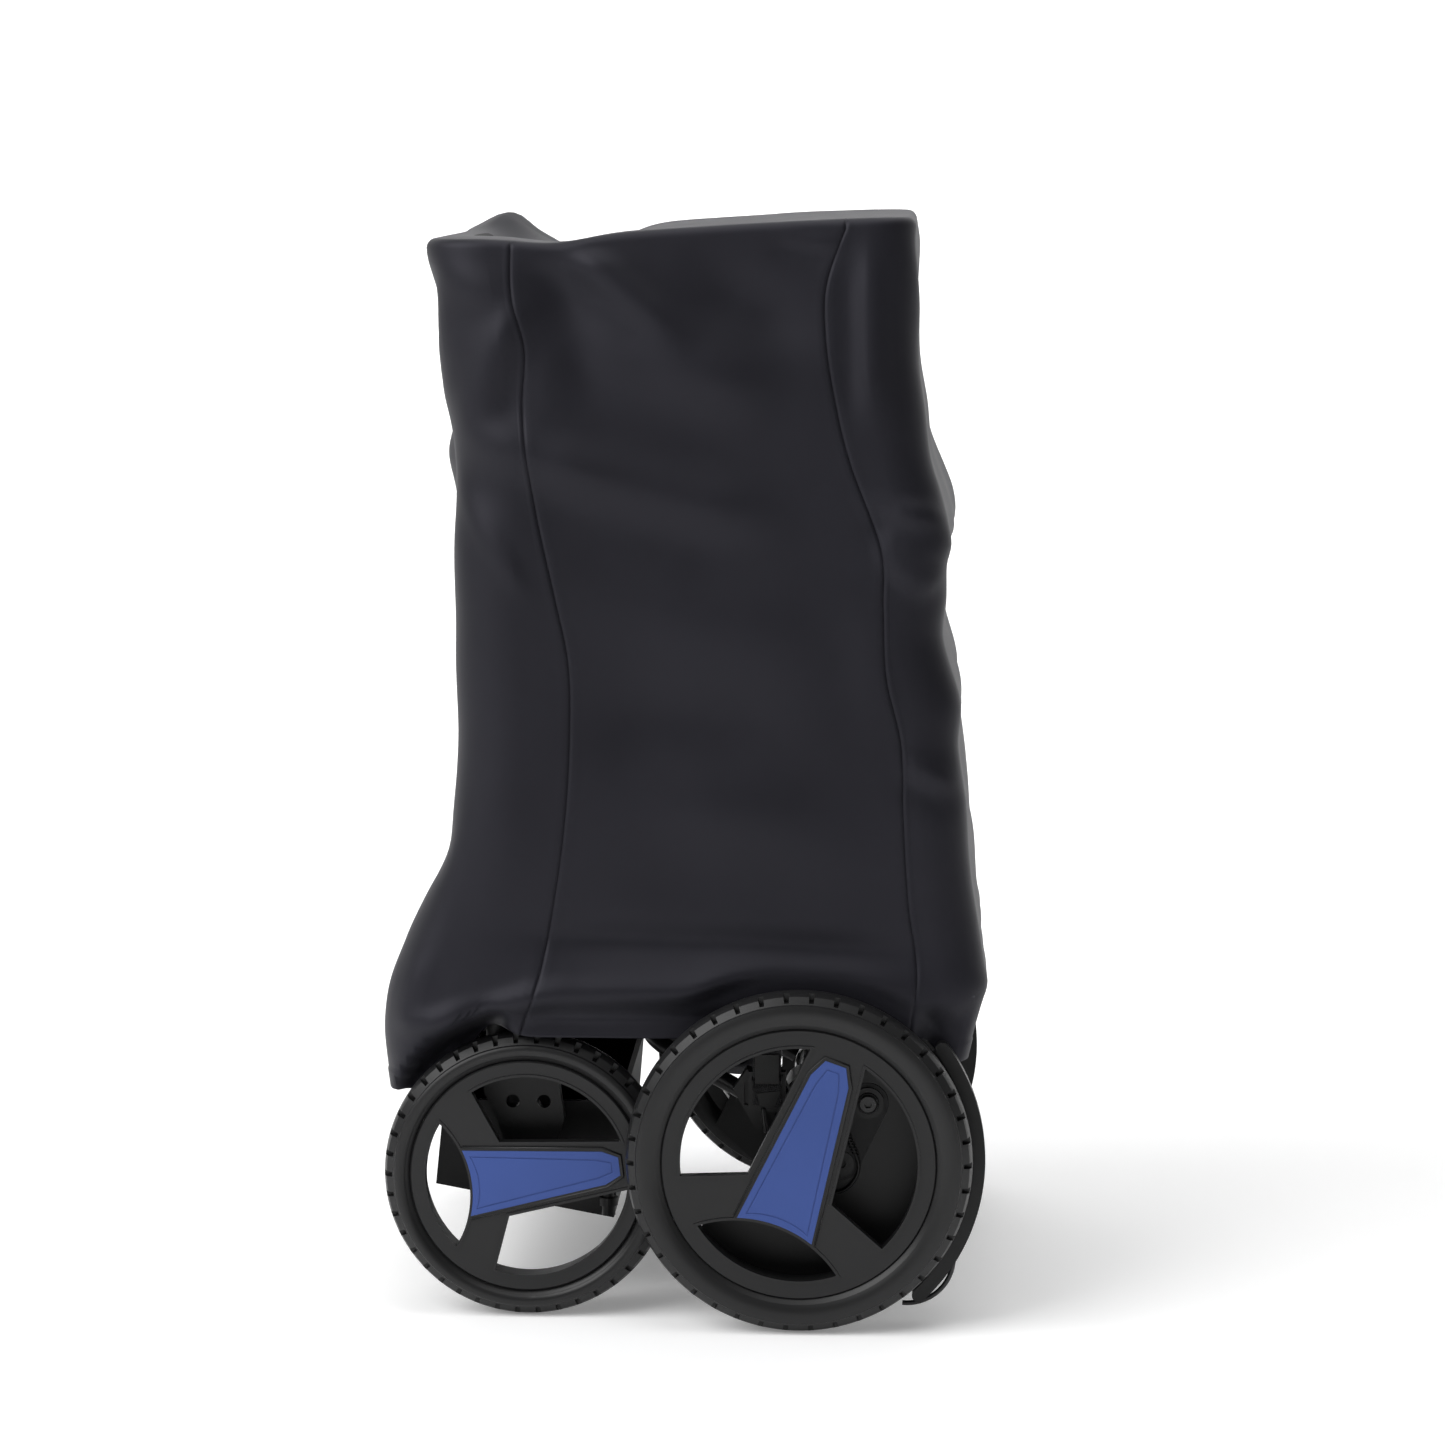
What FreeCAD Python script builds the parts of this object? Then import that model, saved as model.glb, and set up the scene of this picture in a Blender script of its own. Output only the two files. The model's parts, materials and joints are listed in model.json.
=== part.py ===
import FreeCAD, Part
import Sketcher
import math
import os

# A four-wheeled pet stroller, folded and standing on its wheels, with a loose travel cover over it.
# +X points to the stroller's rear, -Y to its left side, +Z up, and the floor is Z = 0.

V = FreeCAD.Vector
SIDES = (("left", -1), ("right", 1))

doc = FreeCAD.newDocument("PetStroller")
sheet = doc.addObject("Spreadsheet::Sheet", "Sizes")

# Driving dimensions, in millimetres and degrees.
SIZES = {
    # wheels: a 12 inch pair behind a 10 inch pair
    "rear_wheel_radius": 152,
    "rear_wheel_x": 100,
    "rear_wheel_y": 270,
    "rear_tyre_width": 42,
    "rear_rim_radius": 122.2,
    "rear_wheel_turn": 70.3,
    "front_wheel_radius": 128,
    "front_wheel_x": -142,
    "front_wheel_y": 224,
    "front_tyre_width": 38,
    "front_rim_radius": 105.7,
    "front_wheel_turn": 7.1,
    "tread_lugs": 42,
    "web_thickness": 10,
    "hub_radius": 22,
    "axle_radius": 5,
    "running_clearance": 0.05,
    # folding frame: rear legs, front legs and handle all turn on one hinge line
    "hinge_x": 192,
    "hinge_z": 690,
    "hinge_disc_radius": 30,
    "hinge_slab": 20,
    "hinge_arm": 62,
    "rear_slab_inner": 158,
    "front_slab_inner": 178.5,
    "handle_slab_inner": 199,
    "knob_radius": 25,
    "knob_face": 229,
    "tube_radius": 9.5,
    "tube_wall": 1.6,
    # rear axle and guards
    "axle_tube_radius": 14,
    "axle_tube_half": 232.5,
    "guard_centre_x": 87.4,
    "guard_centre_z": 147.4,
    "guard_radius": 176,
    "guard_band": 12,
    "guard_inner_y": 233,
    "guard_wall": 4,
    "guard_depth": 13,
    "loop_wire_radius": 2.2,
    # front casters
    "swivel_x": -168,
    "swivel_pin_radius": 6,
    "stem_radius": 14,
    "fork_inner_y": 180.5,
    "fork_thickness": 16,
    "fork_hole_radius": 6,
    # cross members and hoops
    "front_cross_reach": 480,
    "basket_bar_x": -39,
    "basket_bar_z": 230,
    "handle_bar_x": -207,
    "handle_bar_z": 935,
    "grip_radius": 16,
    "grip_length": 300,
    "cabin_hoop_x": 183,
    "cabin_hoop_z": 955,
    "canopy_pivot_x": 150,
    "canopy_pivot_z": 912,
    "canopy_reach": 270,
    "canopy_half": 140,
    # soft parts
    "cabin_half": 150,
    "cabin_cloth": 4,
    "cover_cloth": 3,
    "cover_top": 970,
    "cover_front_corner": 60,
    "cover_back_corner": 32,
    "side_hem": 260,
    "back_hem": 230,
    "flap_half": 200,
}

for row, (alias, value) in enumerate(SIZES.items(), start=1):
    sheet.set(f"A{row}", alias)
    sheet.set(f"B{row}", str(value))
    sheet.setAlias(f"B{row}", alias)
doc.recompute()

nodes = []


def size(alias):
    """The number in the sheet under this alias."""
    return float(sheet.get(alias))


def bind(item, **places):
    """Tie properties of an object to sheet cells; __ in a name stands for a dot."""
    for name, expression in places.items():
        item.setExpression(name.replace("__", "."), expression)


def keep(item):
    """Mark an object as one of the finished sub-parts."""
    nodes.append(item)
    return item


def plane(body, role):
    """One of a body's own origin planes or axes."""
    return next(f for f in body.Origin.OriginFeatures if f.Role == role)


def new_body(label, x="0", y="0", z="0", turn=0.0, axis=V(0, 1, 0)):
    """An empty body whose place is set by expressions, turned about an axis."""
    body = doc.addObject("PartDesign::Body", label)
    body.Label = label
    body.Placement.Rotation = FreeCAD.Rotation(axis, turn)
    bind(body, Placement__Base__x=x, Placement__Base__y=y, Placement__Base__z=z)
    return body


def new_sketch(body, role, offset=0.0):
    """A sketch on a body's origin plane, moved along the plane's normal."""
    sketch = body.newObject("Sketcher::SketchObject", "Sketch")
    sketch.AttachmentSupport = [(plane(body, role), "")]
    sketch.MapMode = "FlatFace"
    sketch.AttachmentOffset = FreeCAD.Placement(V(0, 0, offset), FreeCAD.Rotation())
    return sketch


def circle(sketch, x, y, radius):
    """A circle whose radius is a number or a sheet expression."""
    start = radius if isinstance(radius, (int, float)) else 10
    index = sketch.addGeometry(Part.Circle(V(x, y, 0), V(0, 0, 1), start), False)
    if isinstance(radius, str):
        sketch.addConstraint(Sketcher.Constraint("Radius", index, start))
        sketch.setExpression(f"Constraints[{sketch.ConstraintCount - 1}]", radius)


def polygon(sketch, points):
    """A closed outline of straight edges."""
    for first, second in zip(points, points[1:] + points[:1]):
        sketch.addGeometry(Part.LineSegment(V(*first, 0), V(*second, 0)), False)


def rectangle(x, z, width, height):
    """The corners of an upright rectangle."""
    return [(x, z), (x + width, z), (x + width, z + height), (x, z + height)]


def outline(sketch, pieces):
    """A closed outline: each piece is two points (a line) or three (an arc)."""
    for piece in pieces:
        ends = [V(*point, 0) for point in piece]
        edge = Part.LineSegment(*ends) if len(ends) == 2 else Part.Arc(*ends)
        sketch.addGeometry(edge, False)


def pad(body, sketch, length, reverse=False):
    """Add material along the sketch's normal."""
    feature = body.newObject("PartDesign::Pad", "Pad")
    feature.Profile = sketch
    bind(feature, Length=str(length))
    feature.Reversed = reverse
    return feature


def pocket(body, sketch, length, reverse=False):
    """Cut material against the sketch's normal."""
    feature = body.newObject("PartDesign::Pocket", "Pocket")
    feature.Profile = sketch
    bind(feature, Length=str(length))
    feature.Reversed = reverse
    return feature


def revolve(body, sketch):
    """A full turn about the sketch's vertical axis."""
    feature = body.newObject("PartDesign::Revolution", "Revolution")
    feature.Profile = sketch
    feature.ReferenceAxis = (sketch, ["V_Axis"])
    feature.Angle = 360
    return feature


def polar(body, originals, sketch, count):
    """Repeat features in a ring about a sketch's normal."""
    feature = body.newObject("PartDesign::PolarPattern", "Ring")
    feature.Originals = originals
    feature.Axis = (sketch, ["N_Axis"])
    feature.Angle = 360
    feature.Occurrences = int(count)
    body.Tip = feature
    return feature


def rod(label, radius, length, x, y, z, direction):
    """A cylinder from a point along a direction, sized by expressions."""
    item = doc.addObject("Part::Cylinder", label)
    item.Label = label
    bind(item, Radius=radius, Height=length)
    item.Placement = FreeCAD.Placement(V(x, y, z), FreeCAD.Rotation(V(0, 0, 1), direction))
    return item


def combine(kind, label, base, tool):
    """A boolean of two objects: kind is Cut, Fuse or Common."""
    item = doc.addObject(f"Part::{kind}", label)
    item.Label = label
    item.Base = base
    item.Tool = tool
    return item


def tube(label, start, end):
    """A round frame tube between two points."""
    run = end - start
    length = str(run.Length)
    outer = rod(label + "_outer", "Sizes.tube_radius", length, start.x, start.y, start.z, run)
    bore = rod(label + "_bore", "Sizes.tube_radius - Sizes.tube_wall", length, start.x, start.y, start.z, run)
    return combine("Cut", label, outer, bore)


def slab_y(side, inner, thickness):
    """Where a body's XZ plane sits so that its pads fill a slab |Y| = inner to inner + thickness."""
    return f"-({inner})" if side < 0 else f"{inner} + {thickness}"


def hoop(label, half, reach, bend, radius, start, x, z, turn):
    """A U-shaped tube: two arms along local X joined by a cross bar at their far end."""
    body = new_body(label, x=x, z=z, turn=turn)
    path = new_sketch(body, "XY_Plane")
    near = reach - bend
    turn_in = bend * math.sqrt(0.5)
    outline_points = [
        ((start, -half), (near, -half)),
        ((near, -half), (near + turn_in, -half + bend - turn_in), (reach, -half + bend)),
        ((reach, -half + bend), (reach, half - bend)),
        ((reach, half - bend), (near + turn_in, half - bend + turn_in), (near, half)),
        ((near, half), (start, half)),
    ]
    outline(path, outline_points)
    profile = new_sketch(body, "YZ_Plane", start)
    circle(profile, -half, 0, radius)
    pipe = body.newObject("PartDesign::AdditivePipe", "Pipe")
    pipe.Profile = profile
    pipe.Spine = (path, [f"Edge{n}" for n in range(1, 6)])
    return body


def turn_to(dx, dz):
    """The turn about Y that swings local +X to a direction in the XZ plane."""
    return math.degrees(math.atan2(-dz, dx))


# ---------------------------------------------------------------- wheels

# The wheel's face, in rim radii: u runs along the coloured panel to its narrow tip, v across it.
PANEL_BROAD = (-0.512, 0.284)
PANEL_SHOULDER = (0.655, 0.143)
PANEL_TIP = (0.786, 0.078)
OPENING_RADIUS = 0.85
SCOOP_CENTRE = -1.346
SCOOP_RADIUS = 0.861
EDGE_TIP = (0.81, 0.21)
EDGE_INNER = (-0.19, 0.32)
EDGE_SPOKE = (-0.366, 0.762)


def turned(u, v, angle):
    """A point of the wheel's face, turned about the axle."""
    c = math.cos(math.radians(angle))
    s = math.sin(math.radians(angle))
    return (u * c - v * s, u * s + v * c)


def shifted_line(first, second, gap):
    """A line moved to its left by a gap, as a point and a unit direction."""
    dx = second[0] - first[0]
    dy = second[1] - first[1]
    span = math.hypot(dx, dy)
    return (first[0] - dy / span * gap, first[1] + dx / span * gap), (dx / span, dy / span)


def meet_circle(line, radius, forward):
    """Where a line crosses a circle about the axle, on its forward or backward side."""
    (px, py), (dx, dy) = line
    along = px * dx + py * dy
    root = math.sqrt(along ** 2 - (px ** 2 + py ** 2 - radius ** 2))
    step = -along + root if forward else -along - root
    return (px + dx * step, py + dy * step)


def meet_lines(one, two):
    """Where two lines cross."""
    (ax, ay), (ux, uy) = one
    (bx, by), (wx, wy) = two
    step = ((bx - ax) * wy - (by - ay) * wx) / (ux * wy - uy * wx)
    return (ax + ux * step, ay + uy * step)


def side_opening(rim, grow, mirror):
    """The outline beside the panel: two straight edges and an outer arc."""
    scale = [(u * rim, v * rim) for u, v in (EDGE_TIP, EDGE_INNER, EDGE_SPOKE)]
    edge = shifted_line(scale[0], scale[1], grow)
    spoke = shifted_line(scale[1], scale[2], grow)
    radius = OPENING_RADIUS * rim + grow
    tip = meet_circle(edge, radius, False)
    inner = meet_lines(edge, spoke)
    outer = meet_circle(spoke, radius, True)
    middle = (math.atan2(tip[1], tip[0]) + math.atan2(outer[1], outer[0])) / 2
    crown = (radius * math.cos(middle), radius * math.sin(middle))
    tip, inner, outer, crown = [(u, v * mirror) for u, v in (tip, inner, outer, crown)]
    return [(tip, inner), (inner, outer), (outer, crown, tip)]


def lens_opening(rim, grow):
    """The outline behind the panel's broad end: the overlap of two circles."""
    radius = OPENING_RADIUS * rim + grow
    scoop = SCOOP_RADIUS * rim + grow
    centre = SCOOP_CENTRE * rim
    u = (centre ** 2 + radius ** 2 - scoop ** 2) / (2 * centre)
    v = math.sqrt(radius ** 2 - u ** 2)
    return [((u, v), (-radius, 0), (u, -v)), ((u, -v), (centre + scoop, 0), (u, v))]


def panel_outline(rim, inset):
    """The panel's six-cornered outline with a scooped broad end, drawn in by an inset."""
    shrink = 1 - inset / (0.3 * rim)
    corners = [(u * rim, v * rim) for u, v in (PANEL_BROAD, PANEL_SHOULDER, PANEL_TIP)]
    broad = (corners[0][0] + inset, corners[0][1] * shrink)
    shoulder = (corners[1][0] - inset, corners[1][1] - inset)
    tip = (corners[2][0] - inset, corners[2][1] - inset * 0.6)
    scoop = (SCOOP_CENTRE + 0.881) * rim + inset
    low = [(p[0], -p[1]) for p in (broad, shoulder, tip)]
    return [
        (broad, shoulder), (shoulder, tip), (tip, low[2]), (low[2], low[1]), (low[1], low[0]),
        (low[0], (scoop, 0), broad),
    ]


def face_sketch(body, offset, outlines, angle):
    """A sketch on the wheel's face holding several outlines, turned about the axle."""
    sketch = new_sketch(body, "XZ_Plane", offset)
    for pieces in outlines:
        outline(sketch, [[turned(*point, angle) for point in piece] for piece in pieces])
    return sketch


def make_tyre(label, place, radius, rim, width):
    """A tyre with a stepped shoulder and a ring of tread notches."""
    body = new_body(label, **place)
    half = width / 2
    bead = rim - 1.4
    step = radius - 10
    sketch = new_sketch(body, "XY_Plane")
    wall = [
        ((bead, -half + 6), (rim + 2.5, -half + 2.6)),
        ((rim + 2.5, -half + 2.6), ((rim + step) / 2, -half), (step, -half + 1.4)),
        ((step, -half + 1.4), (step + 0.8, -half + 3.6)),
        ((step + 0.8, -half + 3.6), (radius - 3, -half + 8)),
        ((radius - 3, -half + 8), (radius, 0), (radius - 3, half - 8)),
        ((radius - 3, half - 8), (step + 0.8, half - 3.6)),
        ((step + 0.8, half - 3.6), (step, half - 1.4)),
        ((step, half - 1.4), ((rim + step) / 2, half), (rim + 2.5, half - 2.6)),
        ((rim + 2.5, half - 2.6), (bead, half - 6)),
        ((bead, half - 6), (bead, -half + 6)),
    ]
    outline(sketch, wall)
    revolve(body, sketch)
    notches = []
    for offset, reverse in ((half, False), (-half, True)):
        notch = new_sketch(body, "XZ_Plane", offset)
        polygon(notch, [(step + 2, -2), (radius + 1, -2.8), (radius + 1, 2.8), (step + 2, 2)])
        notches.append(pocket(body, notch, 14, reverse))
    polar(body, notches, sketch_axis(body), size("tread_lugs"))
    return keep(body)


def sketch_axis(body):
    """A sketch in the wheel's plane, whose normal is the axle."""
    marker = new_sketch(body, "XZ_Plane")
    marker.addGeometry(Part.Point(V(0, 0, 0)), True)
    return marker


def make_rim(label, place, rim, angle, bore_depth):
    """A moulded wheel: hub, web with three lipped openings, panel seat and rim ring."""
    body = new_body(label, **place)
    web = size("web_thickness")
    hub = size("hub_radius")
    ring = OPENING_RADIUS * rim + 3
    face = -16
    sketch = new_sketch(body, "XY_Plane")
    polygon(sketch, [
        (0, face), (rim - 3, face), (rim - 1.5, face + 1.5), (rim - 1.5, 15), (ring, 15),
        (ring, face + web), (hub, face + web), (hub - 2, 24), (0, 24),
    ])
    revolve(body, sketch)
    lips = [side_opening(rim, 2.4, 1), side_opening(rim, 2.4, -1)]
    for pieces in lips + [lens_opening(rim, 2.4)]:
        pad(body, face_sketch(body, -face, [pieces], angle), 1.3)
    pad(body, face_sketch(body, -face, [panel_outline(rim, -2.6)], angle), 1.6)
    holes = [side_opening(rim, 0, 1), side_opening(rim, 0, -1), lens_opening(rim, 0)]
    pocket(body, face_sketch(body, -face + 2, holes, angle), web + 3)
    pocket(body, face_sketch(body, -face + 2, [panel_outline(rim, 0)], angle), 4.4)
    bore = new_sketch(body, "XZ_Plane", -24)
    circle(bore, 0, 0, "Sizes.axle_radius + Sizes.running_clearance")
    pocket(body, bore, bore_depth, True)
    return keep(body)


def make_panel(label, place, rim, angle):
    """The coloured panel with an embossed line just inside its edge."""
    body = new_body(label, **place)
    pad(body, face_sketch(body, 13.6, [panel_outline(rim, 0.15)], angle), 4.2)
    line = face_sketch(body, 17.8, [panel_outline(rim, 6.2), panel_outline(rim, 7.4)], angle)
    pocket(body, line, 0.5)
    return keep(body)


def make_wheel(end, suffix, side):
    """Tyre, rim and panel of one wheel; the right-hand wheels are the same, turned round."""
    radius = size(f"{end}_wheel_radius")
    rim = size(f"{end}_rim_radius")
    angle = size(f"{end}_wheel_turn")
    place = {
        "x": f"Sizes.{end}_wheel_x",
        "y": f"{side} * Sizes.{end}_wheel_y",
        "z": f"Sizes.{end}_wheel_radius",
        "turn": 0 if side < 0 else 180,
        "axis": V(0, 0, 1),
    }
    make_tyre(f"{end}_tyre_{suffix}", place, radius, rim, size(f"{end}_tyre_width"))
    make_rim(f"{end}_rim_{suffix}", place, rim, angle, 35)
    make_panel(f"{end}_panel_{suffix}", place, rim, angle)


for suffix, side in SIDES:
    make_wheel("rear", suffix, side)
    make_wheel("front", suffix, side)

# ---------------------------------------------------------------- rear axle and guards

rear_x = size("rear_wheel_x")
rear_z = size("rear_wheel_radius")
across = V(0, 1, 0)

axle_end = size("rear_wheel_y") + 10
axle_length = "2 * (Sizes.rear_wheel_y + 10)"
keep(rod("rear_axle", "Sizes.axle_radius", axle_length, rear_x, -axle_end, rear_z, across))

half_tube = size("axle_tube_half")
shell = rod("axle_tube_outer", "Sizes.axle_tube_radius", "2 * Sizes.axle_tube_half",
            rear_x, -half_tube, rear_z, across)
hollow = rod("axle_tube_bore", "Sizes.axle_radius + Sizes.running_clearance", "2 * Sizes.axle_tube_half",
             rear_x, -half_tube, rear_z, across)
keep(combine("Cut", "axle_tube", shell, hollow))

GUARD_TOP = 36
GUARD_FOOT = -46
LUG = (160, 197)
SECOND_LUG = (137, 142)


def guard_point(radius, angle):
    """A point about the guard's centre, in the XZ plane."""
    a = math.radians(angle)
    return (size("guard_centre_x") + radius * math.cos(a), size("guard_centre_z") + radius * math.sin(a))


def make_guard(suffix, side):
    """A wheel guard: a thin side wall with a deep band round its rear edge and two lugs."""
    wall = "Sizes.guard_wall"
    body = new_body(f"guard_{suffix}", y=slab_y(side, "Sizes.guard_inner_y", "Sizes.guard_depth"))
    depth = size("guard_depth")
    back = depth if side > 0 else 0
    into = side > 0
    outer = size("guard_radius")
    inner = outer - size("guard_band")
    middle = (GUARD_TOP + GUARD_FOOT) / 2
    plate = new_sketch(body, "XZ_Plane", back)
    rim_top = guard_point(inner + 2, GUARD_TOP)
    rim_foot = guard_point(inner + 2, GUARD_FOOT)
    outline(plate, [
        (rim_top, guard_point(inner + 2, middle), rim_foot),
        (rim_foot, (rear_x - 60, rear_z - 122)),
        ((rear_x - 60, rear_z - 122), (rear_x - 96, rear_z - 88)),
        ((rear_x - 96, rear_z - 88), (rear_x - 78, rear_z - 50)),
        ((rear_x - 78, rear_z - 50), (rear_x - 30, rear_z - 32)),
        ((rear_x - 30, rear_z - 32), (rear_x - 30, rear_z - 10)),
        ((rear_x - 30, rear_z - 10), (rear_x - 22, rear_z + 24)),
        ((rear_x - 22, rear_z + 24), (rear_x + 20, rear_z + 62)),
        ((rear_x + 20, rear_z + 62), rim_top),
    ])
    pad(body, plate, wall, into)
    band = new_sketch(body, "XZ_Plane", 0)
    ends = [guard_point(r, a) for a in (GUARD_TOP, GUARD_FOOT) for r in (outer, inner)]
    caps = [guard_point((outer + inner) / 2, a) for a in (GUARD_TOP + 2, GUARD_FOOT - 2)]
    outline(band, [
        (ends[0], guard_point(outer, middle), ends[2]),
        (ends[2], caps[1], ends[3]),
        (ends[3], guard_point(inner, middle), ends[1]),
        (ends[1], caps[0], ends[0]),
    ])
    pad(body, band, "Sizes.guard_depth")
    web = new_sketch(body, "XZ_Plane", back)
    polygon(web, [(LUG[0] - 13, LUG[1] + 6), (LUG[0] - 24, LUG[1] - 38), (LUG[0] + 12, LUG[1] - 8)])
    pad(body, web, 4.5, into)
    for (x, z), radius, height in ((LUG, 14, 6.5), (SECOND_LUG, 11, 6.5), ((rear_x, rear_z), 16, 12.5)):
        lug = new_sketch(body, "XZ_Plane", back)
        circle(lug, x, z, radius)
        pad(body, lug, height, into)
    holes = new_sketch(body, "XZ_Plane", -1)
    circle(holes, rear_x, rear_z, "Sizes.axle_radius + Sizes.running_clearance")
    circle(holes, *SECOND_LUG, 3.6)
    circle(holes, *LUG, 2.5)
    pocket(body, holes, "Sizes.guard_depth + 2", True)
    return keep(body)


def make_guard_screw(suffix, side):
    """A socket-head screw with its shank in the guard's lug."""
    head = size("guard_inner_y") + 6.5
    body = new_body(f"guard_screw_{suffix}", y=str(side * head), turn=0 if side < 0 else 180, axis=V(0, 0, 1))
    x = -side * LUG[0]
    cap = new_sketch(body, "XZ_Plane")
    circle(cap, x, LUG[1], 7)
    pad(body, cap, 5)
    shank = new_sketch(body, "XZ_Plane")
    circle(shank, x, LUG[1], 2.45)
    pad(body, shank, 6, True)
    socket = new_sketch(body, "XZ_Plane", 5)
    corners = [(x + 3.6 * math.cos(math.radians(a)), LUG[1] + 3.6 * math.sin(math.radians(a)))
               for a in range(0, 360, 60)]
    polygon(socket, corners)
    pocket(body, socket, 3)
    return keep(body)


def make_tie_loop(suffix, side):
    """A bent wire loop at the foot of the guard, for the tie-down strap."""
    wire = size("loop_wire_radius")
    body = new_body(f"tie_loop_{suffix}", y=str(side * (size("guard_inner_y") + size("guard_depth") / 2)))
    path = new_sketch(body, "XZ_Plane")
    outline(path, [((236, 57), (225, 30), (191, 17))])
    centre = Part.Arc(V(236, 57, 0), V(225, 30, 0), V(191, 17, 0)).toShape().Curve.Center
    ring = body.newObject("PartDesign::AdditivePipe", "Wire")
    profile = body.newObject("Sketcher::SketchObject", "Section")
    profile.AttachmentSupport = [(plane(body, "XY_Plane"), "")]
    profile.MapMode = "FlatFace"
    spoke = math.degrees(math.atan2(57 - centre.y, 236 - centre.x))
    profile.AttachmentOffset = FreeCAD.Placement(V(236, 0, 57), FreeCAD.Rotation(V(0, 1, 0), -spoke))
    circle(profile, 0, 0, wire)
    ring.Profile = profile
    ring.Spine = (path, ["Edge1"])
    return body


for suffix, side in SIDES:
    guard = make_guard(suffix, side)
    make_guard_screw(suffix, side)
    wire = make_tie_loop(suffix, side)
    loop = combine("Cut", f"tie_wire_{suffix}", wire, guard)
    keep(loop)

# ---------------------------------------------------------------- folding frame

hinge = V(size("hinge_x"), 0, size("hinge_z"))
slab = size("hinge_slab")
arm = size("hinge_arm")


def make_hub(label, side, inner, toward):
    """A hinge disc with an arm that takes a tube, bored for the hinge bolt."""
    run = toward - hinge
    body = new_body(label, x="Sizes.hinge_x", y=slab_y(side, inner, "Sizes.hinge_slab"),
                    z="Sizes.hinge_z", turn=turn_to(run.x, run.z))
    disc = new_sketch(body, "XZ_Plane")
    circle(disc, 0, 0, "Sizes.hinge_disc_radius")
    pad(body, disc, "Sizes.hinge_slab")
    reach = new_sketch(body, "XZ_Plane")
    polygon(reach, [(0, -18), (arm, -12), (arm, 12), (0, 18)])
    pad(body, reach, "Sizes.hinge_slab")
    bore = new_sketch(body, "XZ_Plane", -1)
    circle(bore, 0, 0, "Sizes.axle_radius + Sizes.running_clearance")
    pocket(body, bore, "Sizes.hinge_slab + 2", True)
    return keep(body)


def make_knob(suffix, side):
    """The hinge bolt and its lobed knob, as one fastener."""
    inner = size("rear_slab_inner")
    face = size("knob_face")
    seat = size("handle_slab_inner") + slab + 0.5
    body = new_body(f"hinge_knob_{suffix}", x="Sizes.hinge_x", y=str(side * seat), z="Sizes.hinge_z",
                    turn=0 if side < 0 else 180, axis=V(0, 0, 1))
    head = new_sketch(body, "XZ_Plane")
    circle(head, 0, 0, "Sizes.knob_radius")
    pad(body, head, face - seat)
    grip = new_sketch(body, "XZ_Plane", face - seat)
    circle(grip, size("knob_radius") + 5, 0, 9)
    scoop = pocket(body, grip, face - seat + 1)
    polar(body, [scoop], grip, 6)
    shank = new_sketch(body, "XZ_Plane")
    circle(shank, 0, 0, "Sizes.axle_radius")
    body.Tip = pad(body, shank, seat - inner, True)
    return keep(body)


stem_top = V(size("swivel_x"), 0, 262)
bar = V(size("handle_bar_x"), 0, size("handle_bar_z"))
rear_foot = V(rear_x, 0, rear_z)
front_run = stem_top - hinge
front_dir = V(front_run).normalize()
rear_dir = (rear_foot - hinge).normalize()
cross = hinge + front_dir * size("front_cross_reach")

for suffix, side in SIDES:
    make_hub(f"rear_hub_{suffix}", side, "Sizes.rear_slab_inner", rear_foot)
    make_hub(f"front_hub_{suffix}", side, "Sizes.front_slab_inner", stem_top)
    make_hub(f"handle_hub_{suffix}", side, "Sizes.handle_slab_inner", bar)
    make_knob(suffix, side)

    rear_y = V(0, side * (size("rear_slab_inner") + slab / 2), 0)
    leg = tube(f"rear_leg_tube_{suffix}", hinge + rear_dir * arm + rear_y, rear_foot + rear_y)
    saddle = rod(f"rear_leg_saddle_{suffix}", "Sizes.axle_tube_radius", "60",
                 rear_x, rear_y.y - 30, rear_z, across)
    keep(combine("Cut", f"rear_leg_{suffix}", leg, saddle))

    front_y = V(0, side * (size("front_slab_inner") + slab / 2), 0)
    leg = tube(f"front_leg_tube_{suffix}", hinge + front_dir * arm + front_y, stem_top + front_y)
    saddle = rod(f"front_leg_saddle_{suffix}", "Sizes.stem_radius", "100",
                 stem_top.x, front_y.y, 200, V(0, 0, 1))
    keep(combine("Cut", f"front_leg_{suffix}", leg, saddle))

    stem = rod(f"stem_outer_{suffix}", "Sizes.stem_radius", "62", stem_top.x, front_y.y, 213, V(0, 0, 1))
    bore = rod(f"stem_bore_{suffix}", "Sizes.swivel_pin_radius + Sizes.running_clearance", "55",
               stem_top.x, front_y.y, 213, V(0, 0, 1))
    keep(combine("Cut", f"stem_housing_{suffix}", stem, bore))

cross_half = size("front_slab_inner") + 0.3
keep(rod("front_cross_tube", "Sizes.tube_radius", "2 * (Sizes.front_slab_inner + 0.3)",
         cross.x, -cross_half, cross.z, across))


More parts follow.
